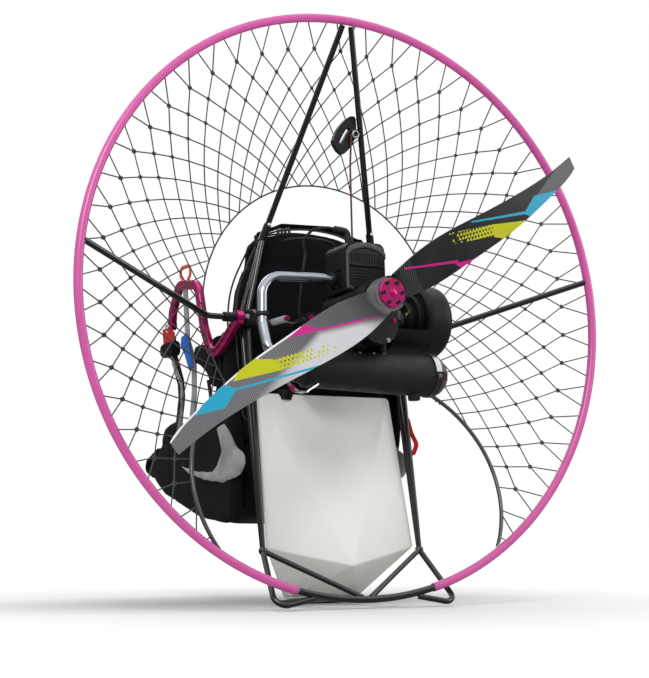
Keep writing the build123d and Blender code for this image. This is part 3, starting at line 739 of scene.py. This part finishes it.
def hex_bolt(bm, place, direction, radius=4.0, height=3.0):
    """A hexagon head on its washer."""
    turned(bm, [(0, 0), (radius * 1.4, 0), (radius * 1.4, 0.9), (0, 0.9)], place, direction, 18)
    spot = facing(place, direction) @ Matrix.Translation((0, 0, 0.9 + height / 2))
    size = {"radius1": radius, "radius2": radius * 0.93, "depth": height}
    bmesh.ops.create_cone(bm, cap_ends=True, segments=6, matrix=spot, **size)


def socket_bolt(bm, place, direction, radius=5.0, height=5.0):
    """A round head with its key socket."""
    key = radius * 0.48
    rim = [(radius - 0.6, height), (radius, height - 0.6), (radius, 0)]
    profile = [(0, 1.2), (key, 1.2), (key, height)] + rim
    turned(bm, profile, place, direction, 20)


def ring_of(bm, centre, axis, radius, thick, steps=28, sides=8):
    """A plain round ring."""
    axis = Vector(axis).normalized()
    out = axis.orthogonal().normalized()
    rim = hoop_of(bm, Vector(centre) + out * radius, axis.cross(out), thick / 2, sides)
    whole_turn(bm, with_verts(rim), centre, axis, steps)


def strap(bm, points, width, thick=3, bends=None, across=FORWARDS):
    """Flat webbing carried along a bent path, its width laid across."""
    heading = (Vector(points[1]) - Vector(points[0])).normalized()
    across = Vector(across).normalized()
    normal = heading.cross(across).normalized()
    corners = []
    for side, face in ((1, 1), (-1, 1), (-1, -1), (1, -1)):
        shift = across * side * width / 2 + normal * face * thick / 2
        corners.append(bm.verts.new(Vector(points[0]) + shift))
    first = [bm.edges.new(pair) for pair in zip(corners, corners[1:] + corners[:1])]
    last = bent(bm, first, points, bends or [18] * (len(points) - 2), 12)
    for edges in (first, last):
        bmesh.ops.contextual_create(bm, geom=edges)


def upright(bm, outline, x, thick, round_off=0, segments=2):
    """A panel drawn in y and z, centred at x."""
    slab(bm, outline, thick, Matrix.Translation((x - thick / 2, 0, 0)) @ ALONG_X, round_off, segments)


def facing_rear(bm, outline, y, thick, round_off=0, segments=2):
    """A panel drawn in x and z, with its rear face at y."""
    slab(bm, outline, thick, Matrix.Translation((0, y, 0)) @ BEHIND, round_off, segments)


def propeller_bolts():
    """Six socket bolts round the plate and the disc in its middle."""
    bm = bmesh.new()
    for i in range(6):
        angle = radians(PROP_ANGLE + 30 + 60 * i)
        spot = (BOLT_CIRCLE_R * cos(angle), PLATE_REAR, PROP_Z + BOLT_CIRCLE_R * sin(angle))
        socket_bolt(bm, spot, BACKWARDS, 5.2, 4.5)
    fitted("propeller_bolts", bm, BOLT_BLACK, "propeller_unit")
    bm = bmesh.new()
    turned(bm, [(0, 0), (9, 0), (9, 1.2), (6, 2), (0, 2)], (0, PLATE_REAR, PROP_Z), BACKWARDS, 30)
    fitted("propeller_centre_disc", bm, MAGENTA, "propeller_unit")


def shroud_trim():
    """Arched rim, ribbed grille, slots and screws on the cooling shroud's rear face."""
    crown = [(-54, 846), (-44, 860), (-24, 868), (0, 871), (24, 868), (44, 860), (54, 846)]
    hollow = [(54, 832), (38, 848), (20, 855), (0, 858), (-20, 855), (-38, 848), (-54, 832)]
    bm = bmesh.new()
    facing_rear(bm, crown + hollow, -56, 10, 1.5)
    tube(bm, [(-51, -51, 756), (-51, -51, 842)], 7, (), 12)
    tube(bm, [(-51, -51, 762), (-38, -51, 756)], 6, (), 12)
    fitted("shroud_rim", bm, RIM_PLASTIC, "root")
    bm = bmesh.new()
    opening = [(-46, 812), (46, 812), (50, 836), (36, 849), (0, 857), (-36, 849), (-48, 836)]
    facing_rear(bm, opening, SHROUD_FACE, 5, 0.6, 1)
    fitted("shroud_grille", bm, GRILLE, "root")
    bm = bmesh.new()
    middle = (GRILLE_RIBS - 1) / 2
    for i in range(GRILLE_RIBS):
        block(bm, (-40 + 7.2 * i, SHROUD_FACE - 0.5, 832), (1.8, 3.4, 26 - abs(i - middle)), 0.5, None, 1)
    block(bm, (2, -52, 813), (92, 6, 3), 1, None, 1)
    fitted("shroud_ribs", bm, DARK_CAST, "root")
    bm = bmesh.new()
    facing_rear(bm, [(-48, 758), (48, 758), (48, 810), (-48, 810)], SHROUD_FACE, 5, 1, 1)
    fitted("shroud_lower_face", bm, PLASTIC, "root")
    bm = bmesh.new()
    for i, width in enumerate((44, 38, 32, 27, 22, 17)):
        block(bm, (-42 + width / 2, SHROUD_FACE - 0.5, 804 - 7.5 * i), (width, 1.6, 4), 0.6, None, 1)
    fitted("shroud_slots", bm, GRILLE, "root")
    bm = bmesh.new()
    for x, z in ((16, 772), (30, 778), (24, 764)):
        hex_bolt(bm, (x, SHROUD_FACE, z), BACKWARDS, 2.6, 2)
    fitted("shroud_screws", bm, DARK_CAST, "root")


def on_muffler(along, offset=(0, 0, 0)):
    return MUFFLER_LEFT + MUFFLER_AXIS * along + Vector(offset)


def exhaust_hardware():
    """Clamp band, strap, bolts and joint rings of the muffler and its header."""
    bm = bmesh.new()
    profile = [(50, -6), (52.4, -6), (52.4, 6), (50, 6), (50, -6)]
    turned(bm, profile, on_muffler(MUFFLER_BAND), MUFFLER_AXIS, 56)
    fitted("muffler_band", bm, BOLT_BLACK, "root")
    bm = bmesh.new()
    latch = []
    for angle, reach in ((0.1, 54), (0.8, 70.6), (1.5, 54)):
        latch.append(on_muffler(MUFFLER_BAND, (0, -reach * sin(angle), reach * cos(angle))))
    strap(bm, latch, 15, 3, (54,), MUFFLER_AXIS)
    hex_bolt(bm, on_muffler(MUFFLER_BAND, (0, -56, -6)), (0, -1, -0.2), 3.4, 4)
    fitted("muffler_latch", bm, SILVER, "root")
    bm = bmesh.new()
    profile = [(0, 0), (50.5, 0), (50, 6), (45, 16), (36, 27), (28, 31), (0, 32)]
    turned(bm, profile, on_muffler(358), MUFFLER_AXIS, 14)
    fitted("muffler_cap", bm, CARBON, "root", ("muffler_end_cap",), 12)
    bm = bmesh.new()
    for along in (155, 193, 221):
        radius = 43 + 8 * along / 360
        hex_bolt(bm, on_muffler(along, (0, -12, radius - 3.5)), (0, -0.25, 1), 4, 3)
    fitted("muffler_bolts", bm, SILVER, "root")
    bm = bmesh.new()
    cradle = [(-236, -66, 524), (-214, -78, 498), (-196, -80, 495), (-162, -72, 514)]
    strap(bm, cradle, 22, 3.4, (8, 8), (0, 1, 0.25))
    fitted("muffler_strap", bm, SILVER, "root")
    bm = bmesh.new()
    hex_bolt(bm, (-230, -88, 504), (-0.3, -1, 0), 5, 5)
    fitted("muffler_strap_bolt", bm, MAGENTA, "root")
    bm = bmesh.new()
    turned(bm, [(0, 0), (13, 0), (15, 4), (15, 16), (0, 16)], on_muffler(305, (0, -6, -62)), (0, 0, 1), 28)
    fitted("muffler_stub", bm, HEAT, "root")
    bm = bmesh.new()
    for place, direction in (((-260.4, -7.8, 686), (0.09, 0.12, 1)), ((-66, 0.4, 785.6), (1, 0.07, 0))):
        profile = [(HEADER_TUBE_R, -5), (16.4, -5), (17.2, -3), (17.2, 3), (16.4, 5), (HEADER_TUBE_R, 5)]
        turned(bm, profile + profile[:1], place, direction, 36)
    fitted("header_joint", bm, DARK_CAST, "root")


def header():
    """The polished pipe in finer bends."""
    bm = bmesh.new()
    heading = Vector(HEADER_ROUTE[1]) - Vector(HEADER_ROUTE[0])
    first = hoop_of(bm, HEADER_ROUTE[0], heading, HEADER_TUBE_R, 40)
    last = bent(bm, first, HEADER_ROUTE, HEADER_BENDS, 3)
    for edges in (first, last):
        bmesh.ops.contextual_create(bm, geom=edges)
    fitted("exhaust_pipe", bm, CHROME, "root", ("exhaust_header",), 60)


def engine_hardware():
    """Bolts, side standoffs, carburettor details and the beads of the airbox."""
    bm = bmesh.new()
    for x, z in ((-88, 702), (88, 702), (-88, 562), (88, 562)):
        hex_bolt(bm, (x, 66, z), BACKWARDS, 7, 5)
    hex_bolt(bm, (38, -108, 672), BACKWARDS, 4, 4)
    for side in (-1, 1):
        socket_bolt(bm, (side * 146, 92, 701), BACKWARDS, 6, 10)
    fitted("engine_bolts", bm, MAGENTA, "root")
    bm = bmesh.new()
    for side in (-1, 1):
        profile = [(0, 0), (8, 0), (8.6, 2), (8.6, 70), (8, 72), (0, 72)]
        turned(bm, profile, (side * 146, 164, 704), (0, -1, -0.04), 32)
    fitted("side_standoffs", bm, PALE_METAL, "root")
    bm = bmesh.new()
    for x, z in ((-36, 640), (20, 624), (-38, 694), (38, 700)):
        hex_bolt(bm, (x, -108, z), BACKWARDS, 4, 4)
    fitted("gear_casing_bolts", bm, SILVER, "root")
    bm = bmesh.new()
    for i in range(5):
        turned(bm, [(20, 0), (25, 0), (25, 3), (20, 3), (20, 0)], (66 + 14 * i, *INTAKE), (1, 0, 0), 32)
    block(bm, (112, -10, 706), (10, 8, 24), 2)
    block(bm, (92, -22, 690), (14, 10, 10), 2)
    fitted("carburettor_body", bm, GREY_CAST, "root")
    bm = bmesh.new()
    turned(bm, [(0, 0), (4, 0), (4, 5), (2.4, 6), (2.4, 16), (0, 17)], (126, -20, 705), (0.4, -0.6, 0.8), 20)
    fitted("carburettor_jet", bm, BRASS, "root")
    bm = bmesh.new()
    for radius, x in ((64, 160), (47, 144), (80, 174)):
        ring_of(bm, (x, *INTAKE), (1, 0, 0), radius, 5, 64, 10)
    fitted("airbox_beads", bm, PLASTIC, "root")


def frame_hardware():
    """Bolts on the chassis and spars."""
    bm = bmesh.new()
    for side in (-1, 1):
        hex_bolt(bm, (side * 148, 162, 950), (0, -1, 0.3), 3.4, 3)
        hex_bolt(bm, (side * 232, 128, 708), BACKWARDS, 4.5, 4)
        hex_bolt(bm, (side * 213, 128, 722), BACKWARDS, 3, 3)
        hex_bolt(bm, (side * 187, -8.5, 47), BACKWARDS, 3, 2)
    fitted("frame_bolts", bm, SILVER, "root")


def starter_pull():
    """Sheave on the spar and the rope down to the recoil starter."""
    bm = bmesh.new()
    profile = [(6, -1.5), (10.6, -1.5), (10.6, 0), (8.6, 2.4), (8.6, 5), (10.6, 8), (10.6, 9.6), (6, 9.6)]
    turned(bm, profile, SHEAVE, FORWARDS, 32)
    ring_of(bm, Vector(SHEAVE) - Vector((0, 1.5, 0)), FORWARDS, 7.4, 2.2, 30)
    fitted("starter_sheave", bm, SILVER, "root")
    bm = bmesh.new()
    tube(bm, ROPE_ROUTE, 5, (200,), 10)
    fitted("starter_rope", bm, ROPE, "root", ("starter_cord",))


propeller_bolts()
shroud_trim()
exhaust_hardware()
header()
engine_hardware()
frame_hardware()
starter_pull()


# Harness

SWELL_STEPS = 20
NO_LIMIT = 999


def in_place(bm):
    """A mesh of a shape that was drawn in the machine frame."""
    bm.transform(MACHINE)
    bmesh.ops.recalc_face_normals(bm, faces=bm.faces)
    mesh = bpy.data.meshes.new("padding")
    bm.to_mesh(mesh)
    bm.free()
    return mesh


def baked(piece):
    """The mesh that the piece's modifiers make, with the modifiers taken off."""
    graph = bpy.context.evaluated_depsgraph_get()
    mesh = bpy.data.meshes.new_from_object(piece.evaluated_get(graph))
    piece.modifiers.clear()
    piece.data = mesh
    return mesh


def puffed(name, bm, finish, instead_of=(), swell=0.006, voxel=0.006, seams=(), body="root"):
    """A padded piece: remeshed, swollen under pressure, capped, sewn along its seams and smoothed."""
    mesh = in_place(bm)
    piece = bpy.data.objects.new(name, mesh)
    bpy.context.collection.objects.link(piece)
    remesh = piece.modifiers.new("even", "REMESH")
    remesh.mode = "VOXEL"
    remesh.voxel_size = voxel
    mesh = baked(piece)
    rest = [vert.co.copy() for vert in mesh.vertices]
    cloth = piece.modifiers.new("swell", "CLOTH")
    cloth.settings.use_pressure = True
    cloth.settings.uniform_pressure_force = 4
    cloth.settings.effector_weights.gravity = 0
    cloth.settings.quality = 4
    cloth.point_cache.frame_end = SWELL_STEPS
    for step in range(1, SWELL_STEPS + 1):
        bpy.context.scene.frame_set(step)
    mesh = baked(piece)
    bpy.context.scene.frame_set(1)
    for vert, start in zip(mesh.vertices, rest):
        moved = vert.co - start
        if moved.length > swell:
            vert.co = start + moved.normalized() * swell
    sewn(mesh, seams)
    every_way = {"use_axis_x": True, "use_axis_y": True, "use_axis_z": True}
    bm = bmesh.new()
    bm.from_mesh(mesh)
    for _ in range(3):
        bmesh.ops.smooth_vert(bm, verts=bm.verts, factor=0.5, **every_way)
    for face in bm.faces:
        face.smooth = True
    bm.to_mesh(mesh)
    bm.free()
    soften = piece.modifiers.new("soften", "SUBSURF")
    soften.levels = soften.render_levels = 1
    baked(piece)
    piece.data.materials.append(finish)
    held(piece, body, instead_of)


def sewn(mesh, seams):
    """Draws the skin in along seams, each a function that gives its groove's depth at a spot."""
    back = MACHINE.inverted()
    mesh.update()
    for vert in mesh.vertices:
        spot = back @ vert.co
        vert.co -= vert.normal * max((seam(spot) for seam in seams), default=0)


def groove(axis, at, depth=0.005, half=9, low=-NO_LIMIT, high=NO_LIMIT, along=2):
    """A sewn channel where one coordinate equals a value, between limits on another."""
    def seam(spot):
        if not low < spot[along] < high:
            return 0
        away = (spot[axis] - at) / half
        return depth * max(0, 1 - away * away)
    return seam


BACK_SIDE = [(164, 901), (193, 847), (214, 795), (222, 724), (219, 640), (215, 540), (213, 404)]
BACK_OUTLINE = [(-140, 945), (-70, 962), (0, 968), (70, 962), (140, 945)] + BACK_SIDE
BACK_OUTLINE += [(-x, z) for x, z in reversed(BACK_SIDE)]
POCKET_OUTLINE = [
    (-126, 896), (-86, 904), (-17, 905), (40, 912), (74, 922), (60, 934), (24, 940), (-40, 938), (-77, 930),
    (-112, 912),
]
COMPRESSION_STRAP = [
    (-158, 208, 905), (-152, 226, 938), (-72, 246, 972), (62, 246, 976), (152, 226, 940), (158, 208, 905),
]
BUCKLE = Vector((-66, 238, 948))
SHOULDER_X = 96
SHOULDER_LINE = [(268, 938), (330, 930), (404, 806), (392, 660), (290, 560)]
SEAT_PROFILE = [
    (222, 436), (222, 240), (400, 236), (556, 300), (690, 380), (724, 412), (716, 440), (690, 452),
    (520, 440), (340, 424),
]
SEAT_SIDE = [
    (220, 700), (210, 560), (208, 380), (224, 234), (240, 216), (302, 214), (448, 238), (541, 271),
    (667, 315), (729, 357), (761, 395), (740, 424), (686, 454), (662, 499), (600, 513), (500, 493),
    (420, 493), (352, 534), (312, 600), (296, 700),
]
FLANK_OUTLINE = [
    (196, 560), (212, 430), (238, 345), (262, 332), (300, 380), (300, 570), (270, 585), (206, 585),
]
LIP_OUTLINE = [
    (552, 385), (480, 350), (397, 330), (281, 312), (196, 322), (160, 345), (160, 374), (209, 409),
    (232, 444), (262, 470), (312, 464), (292, 428), (284, 400), (312, 372), (349, 356), (430, 356),
]
HIP_OUTLINE = [
    (278, 690), (320, 692), (338, 672), (378, 684), (436, 684), (442, 640), (396, 620), (352, 590),
    (336, 560), (300, 560), (278, 560),
]
RED_TAB = [(590, 752), (534, 748), (518, 728), (522, 694), (556, 690), (584, 700)]
BLUE_TAB = [(470, 712), (440, 716), (424, 690), (404, 622), (426, 618), (450, 660), (476, 690)]
HOOK_PAD = [(512, 714), (606, 714), (606, 676), (512, 668)]

# Webbing lines: how far outside the strap line, then y and z.
STRAP_X = 234
RISER = [(12, 540, 724), (12, 545, 690), (0, 520, 600), (0, 516, 560), (0, 536, 496), (1, 538, 446)]
HIP_STRAPS = [
    [(0, 288, 646), (0, 282, 600), (0, 296, 560)],
    [(0, 352, 584), (0, 340, 545), (0, 342, 470)],
]
GREY_STRAP = [
    (12, 456, 846), (12, 450, 760), (12, 446, 700), (0, 436, 640), (0, 438, 560), (0, 456, 496),
    (1, 458, 446),
]
GREY_CORD = [(13, 548, 690), (13, 536, 650), (3, 506, 590), (3, 508, 540), (3, 528, 470)]
ORANGE_LOOP = [
    (16, 444, 842), (16, 474, 872), (16, 472, 896), (16, 416, 892), (16, 414, 866), (16, 448, 842),
]
HOOK = [(12, 545, 742), (12, 566, 732), (12, 556, 712), (12, 534, 716), (12, 532, 736)]
SEAT_EDGE_STRAP = [(-12, 620, 440), (-12, 690, 444), (-12, 762, 420), (-12, 776, 396), (-12, 720, 372)]
RED_LOOP = [(250, 190, 480), (250, 176, 444), (250, 150, 410), (250, 168, 388), (246, 200, 382)]
BLEND_START = (516, 520)
BLEND_END = (545, 735)


def welt(bm, points, thick=5):
    """Piping along a closed line."""
    piping = bpy.data.curves.new("piping", "CURVE")
    piping.dimensions = "3D"
    piping.bevel_depth = thick / 2
    piping.bevel_resolution = 2
    spline = piping.splines.new("NURBS")
    spline.points.add(len(points) - 1)
    for point, place in zip(spline.points, points):
        point.co = (*place, 1)
    spline.use_cyclic_u = True
    spline.order_u = 4
    spline.resolution_u = 4
    carrier = bpy.data.objects.new("piping", piping)
    bpy.context.collection.objects.link(carrier)
    graph = bpy.context.evaluated_depsgraph_get()
    mesh = bpy.data.meshes.new_from_object(carrier.evaluated_get(graph))
    bpy.data.objects.remove(carrier)
    bm.from_mesh(mesh)
    bpy.data.meshes.remove(mesh)


def harness_back():
    """Back pad in quilted panels with piped edges, a pocket, and the straps over it."""
    bm = bmesh.new()
    facing_rear(bm, BACK_OUTLINE, 218, 54, 12, 3)
    seams = [groove(2, 860), groove(2, 640)]
    seams += [groove(0, x, low=470, high=860) for x in (-120, 120)]
    puffed("harness_back_pad", bm, FABRIC, ("harness_back",), 0.012, 0.007, seams)
    bm = bmesh.new()
    for y in (222, 268):
        welt(bm, [(x * 0.985, y, 700 + (z - 700) * 0.985) for x, z in BACK_OUTLINE])
    welt(bm, [(x, 215, z) for x, z in POCKET_OUTLINE])
    fitted("harness_piping", bm, PIPING, "root")
    bm = bmesh.new()
    strap(bm, COMPRESSION_STRAP, 25, 3, (8, 40, 60, 8), (0, 1, 0.2))
    fitted("compression_strap", bm, WEBBING, "root")
    bm = bmesh.new()
    tilt = Matrix.Rotation(radians(-14), 4, "Y")
    for along in (-16, -5, 5, 16):
        block(bm, BUCKLE + tilt @ Vector((along, 0, 0)), (5, 8, 30), 1.2, tilt, 1)
    for up in (-14, 14):
        block(bm, BUCKLE + tilt @ Vector((0, 0, up)), (38, 8, 4.6), 1.2, tilt, 1)
    fitted("ladder_buckle", bm, RIM_PLASTIC, "root")
    bm = bmesh.new()
    for x in (-SHOULDER_X, SHOULDER_X):
        strap(bm, [(x, y, z) for y, z in SHOULDER_LINE], 64, 16, (30, 60, 60), (1, 0, 0))
    puffed("shoulder_straps", bm, FABRIC)


def harness_seat():
    """Bucket seat: a padded cushion between two soft walls, each with its pale crescent."""
    bm = bmesh.new()
    upright(bm, SEAT_PROFILE, 0, 396, 14, 3)
    seams = [groove(1, y, 0.006, 10, 300) for y in (360, 540)]
    seams += [groove(0, 0, 0.004, 8, 300)]
    puffed("harness_seat_pad", bm, FABRIC, ("harness_seat",), 0.012, 0.008, seams)
    bm = bmesh.new()
    upright(bm, FLANK_OUTLINE, 234, 16, 6)
    fitted("harness_flank_right", bm, FABRIC, "root")
    for side, name in ((-1, "left"), (1, "right")):
        bm = bmesh.new()
        upright(bm, SEAT_SIDE, side * 216, 22, 8)
        seams = [groove(2, 452, 0.004, 8, 278, along=1)]
        seams += [groove(1, y, 0.003, 7, 300) for y in (480, 600)]
        puffed("harness_side_" + name, bm, FABRIC, seams=seams)
        bm = bmesh.new()
        upright(bm, LIP_OUTLINE, side * 231.5, 10, 4)
        puffed("harness_lip_" + name, bm, GREY_FABRIC, voxel=0.005)


def beside(side, points):
    return [(side * (STRAP_X + out), y, z) for out, y, z in points]


def hang_webbing():
    """Risers from the arms' ends to the seat, with their loops and tabs, on both sides."""
    for side, name in ((-1, "left"), (1, "right")):
        arm = "arm_%s_swing" % name
        ends = [MACHINE @ Vector((side * STRAP_X, y, z)) for y, z in (BLEND_START, BLEND_END)]
        hanging = ("root", arm, *ends)
        bm = bmesh.new()
        strap(bm, beside(side, RISER), 36, 4)
        for line in HIP_STRAPS:
            strap(bm, beside(side, line), 16)
        fitted("riser_" + name, bm, WEBBING, hanging, ("hang_strap_" + name,))
        bm = bmesh.new()
        strap(bm, beside(side, GREY_STRAP), 26)
        strap(bm, beside(side, GREY_CORD), 8, 6)
        fitted("grey_strap_" + name, bm, PALE_WEBBING, hanging)
        bm = bmesh.new()
        upright(bm, HIP_OUTLINE, side * 226, 24, 9)
        puffed("hip_pad_" + name, bm, FABRIC)
        bm = bmesh.new()
        upright(bm, HOOK_PAD, side * 246, 26, 8)
        puffed("hook_pad_" + name, bm, FABRIC, body=hanging)
        bm = bmesh.new()
        upright(bm, RED_TAB, side * 252, 4, 1, 1)
        fitted("red_tab_" + name, bm, RED_CLOTH, arm)
        bm = bmesh.new()
        upright(bm, BLUE_TAB, side * 252, 4, 1, 1)
        fitted("blue_tab_" + name, bm, BLUE_CLOTH, hanging)
        bm = bmesh.new()
        tube(bm, beside(side, ORANGE_LOOP), 7, (12, 14, 14, 12), 12)
        fitted("orange_loop_" + name, bm, ORANGE, arm)
        bm = bmesh.new()
        ring_of(bm, (side * 258, 545, 746), (1, 0, 0.2), 11, 4)
        tube(bm, beside(side, HOOK), 5, (8, 8, 8), 12)
        fitted("hang_hook_" + name, bm, SILVER, arm)
        bm = bmesh.new()
        strap(bm, beside(side, SEAT_EDGE_STRAP), 18, 4, (30, 14, 14), (1, 0, 0))
        fitted("seat_edge_strap_" + name, bm, WEBBING, "root")
    bm = bmesh.new()
    strap(bm, RED_LOOP, 12, 3, (20, 12, 8), (1, 0, 0))
    fitted("red_loop", bm, RED_CLOTH, "root")


harness_back()
harness_seat()
hang_webbing()


# Camera, floor and light

CAMERA_SPOT = Vector((-2.014, -3.433, 0.202))
CAMERA_HEADING = radians(-28.945)
CAMERA_CLIMB = radians(6.255)
FOCAL_PIXELS = 1675.25
PHOTO_HEIGHT = 678
SENSOR = 36
FLOOR_HALF = 30


def camera():
    flat = cos(CAMERA_CLIMB)
    forward = Vector((-sin(CAMERA_HEADING) * flat, cos(CAMERA_HEADING) * flat, sin(CAMERA_CLIMB)))
    right = Vector((cos(CAMERA_HEADING), sin(CAMERA_HEADING), 0))
    up = right.cross(forward)
    lens = bpy.data.cameras.new("camera")
    lens.lens = SENSOR * FOCAL_PIXELS / PHOTO_HEIGHT
    lens.sensor_width = SENSOR
    lens.clip_end = 100
    eye = bpy.data.objects.new("camera", lens)
    turn = Matrix((right, up, -forward)).transposed().to_4x4()
    eye.matrix_world = Matrix.Translation(STANDING @ CAMERA_SPOT) @ turn
    bpy.context.collection.objects.link(eye)
    bpy.context.scene.camera = eye


def floor():
    """White ground that keeps a soft shadow near the machine, deepened there by a painted shadow, and runs into
    the white background.
    """
    finish = Finish("studio_floor")
    path = finish.node("LightPath")
    seen = finish.maths("MAXIMUM", path.outputs["Is Camera Ray"], path.outputs["Is Transmission Ray"])
    # Painted shadow: the floor's colour darkens towards grey in an oval round the spot under the machine.
    beside = finish.vector("SUBTRACT", finish.place, (-0.12, 0.1, 0))
    beside = finish.length(finish.vector("MULTIPLY", beside, (1.1, 2.4, 1)))
    grey = finish.mixed(finish.span(beside, 0, 1, 0.1, 1.1), linear(176, 178, 180), linear(241, 241, 241))
    matt = finish.node("BsdfDiffuse", {"Color": grey}).outputs[0]
    white = finish.node("Emission", {"Color": (1, 1, 1, 1), "Strength": 1.15}).outputs[0]
    away = finish.span(finish.length(finish.place), 0.12, 1, 0.45, 1.9)
    both = finish.node("MixShader", {0: finish.maths("MULTIPLY", seen, away), 1: matt, 2: white}).outputs[0]
    dim = finish.node("Emission", {"Color": (1, 1, 1, 1), "Strength": 0.16}).outputs[0]
    reflected = finish.maths("MULTIPLY", path.outputs["Is Glossy Ray"], 0.85)
    surface = finish.node("MixShader", {0: reflected, 1: both, 2: dim}).outputs[0]
    finish.feed(finish.tree.nodes["Material Output"].inputs["Surface"], surface)
    bm = bmesh.new()
    bmesh.ops.create_grid(bm, x_segments=1, y_segments=1, size=FLOOR_HALF)
    mesh = bpy.data.meshes.new("studio_floor")
    bm.to_mesh(mesh)
    bm.free()
    mesh.materials.append(finish.material)
    ground = bpy.data.objects.new("studio_floor", mesh)
    bpy.context.collection.objects.link(ground)


def lamp(name, spot, aim, power, size):
    light = bpy.data.lights.new(name, "AREA")
    light.energy = power
    light.size = size
    holder = bpy.data.objects.new(name, light)
    place = Vector(spot)
    turn = (place - Vector(aim)).to_track_quat("Z", "Y").to_matrix().to_4x4()
    holder.matrix_world = Matrix.Translation(place) @ turn
    bpy.context.collection.objects.link(holder)


def studio():
    """White for the camera; reflections see a studio that is dark low down with a bright ceiling."""
    world = bpy.data.worlds.new("studio")
    bpy.context.scene.world = world
    world.use_nodes = True
    sky = Nodes(world.node_tree)
    path = sky.node("LightPath")
    height = sky.node("SeparateXYZ", {0: sky.node("TexCoord").outputs["Generated"]}).outputs["Z"]
    ceiling = sky.span(height, 0.1, 1.35, 0.1, 0.75)
    glossy = path.outputs["Is Glossy Ray"]
    soft = sky.node("Mix", {0: glossy, 2: 0.62, 3: ceiling}, data_type="FLOAT").outputs[0]
    seen = sky.maths("MAXIMUM", path.outputs["Is Camera Ray"], path.outputs["Is Transmission Ray"])
    strength = sky.node("Mix", {0: seen, 2: soft, 3: 1.0}, data_type="FLOAT").outputs[0]
    back = sky.tree.nodes["Background"]
    sky.feed(back.inputs["Strength"], strength)
    sky.feed(back.inputs["Color"], (1, 1, 1, 1))
    lamp("key_light", (-2.6, -3.4, 3.6), (0, 0, 0.7), 95, 1.8)
    lamp("side_light", (3.4, -2.4, 1.8), (0, 0, 0.7), 26, 1.6)
    lamp("back_light", (0.5, 3.6, 2.8), (0, 0, 0.8), 40, 2.2)
    bpy.context.scene.view_settings.view_transform = "Standard"


camera()
floor()
studio()
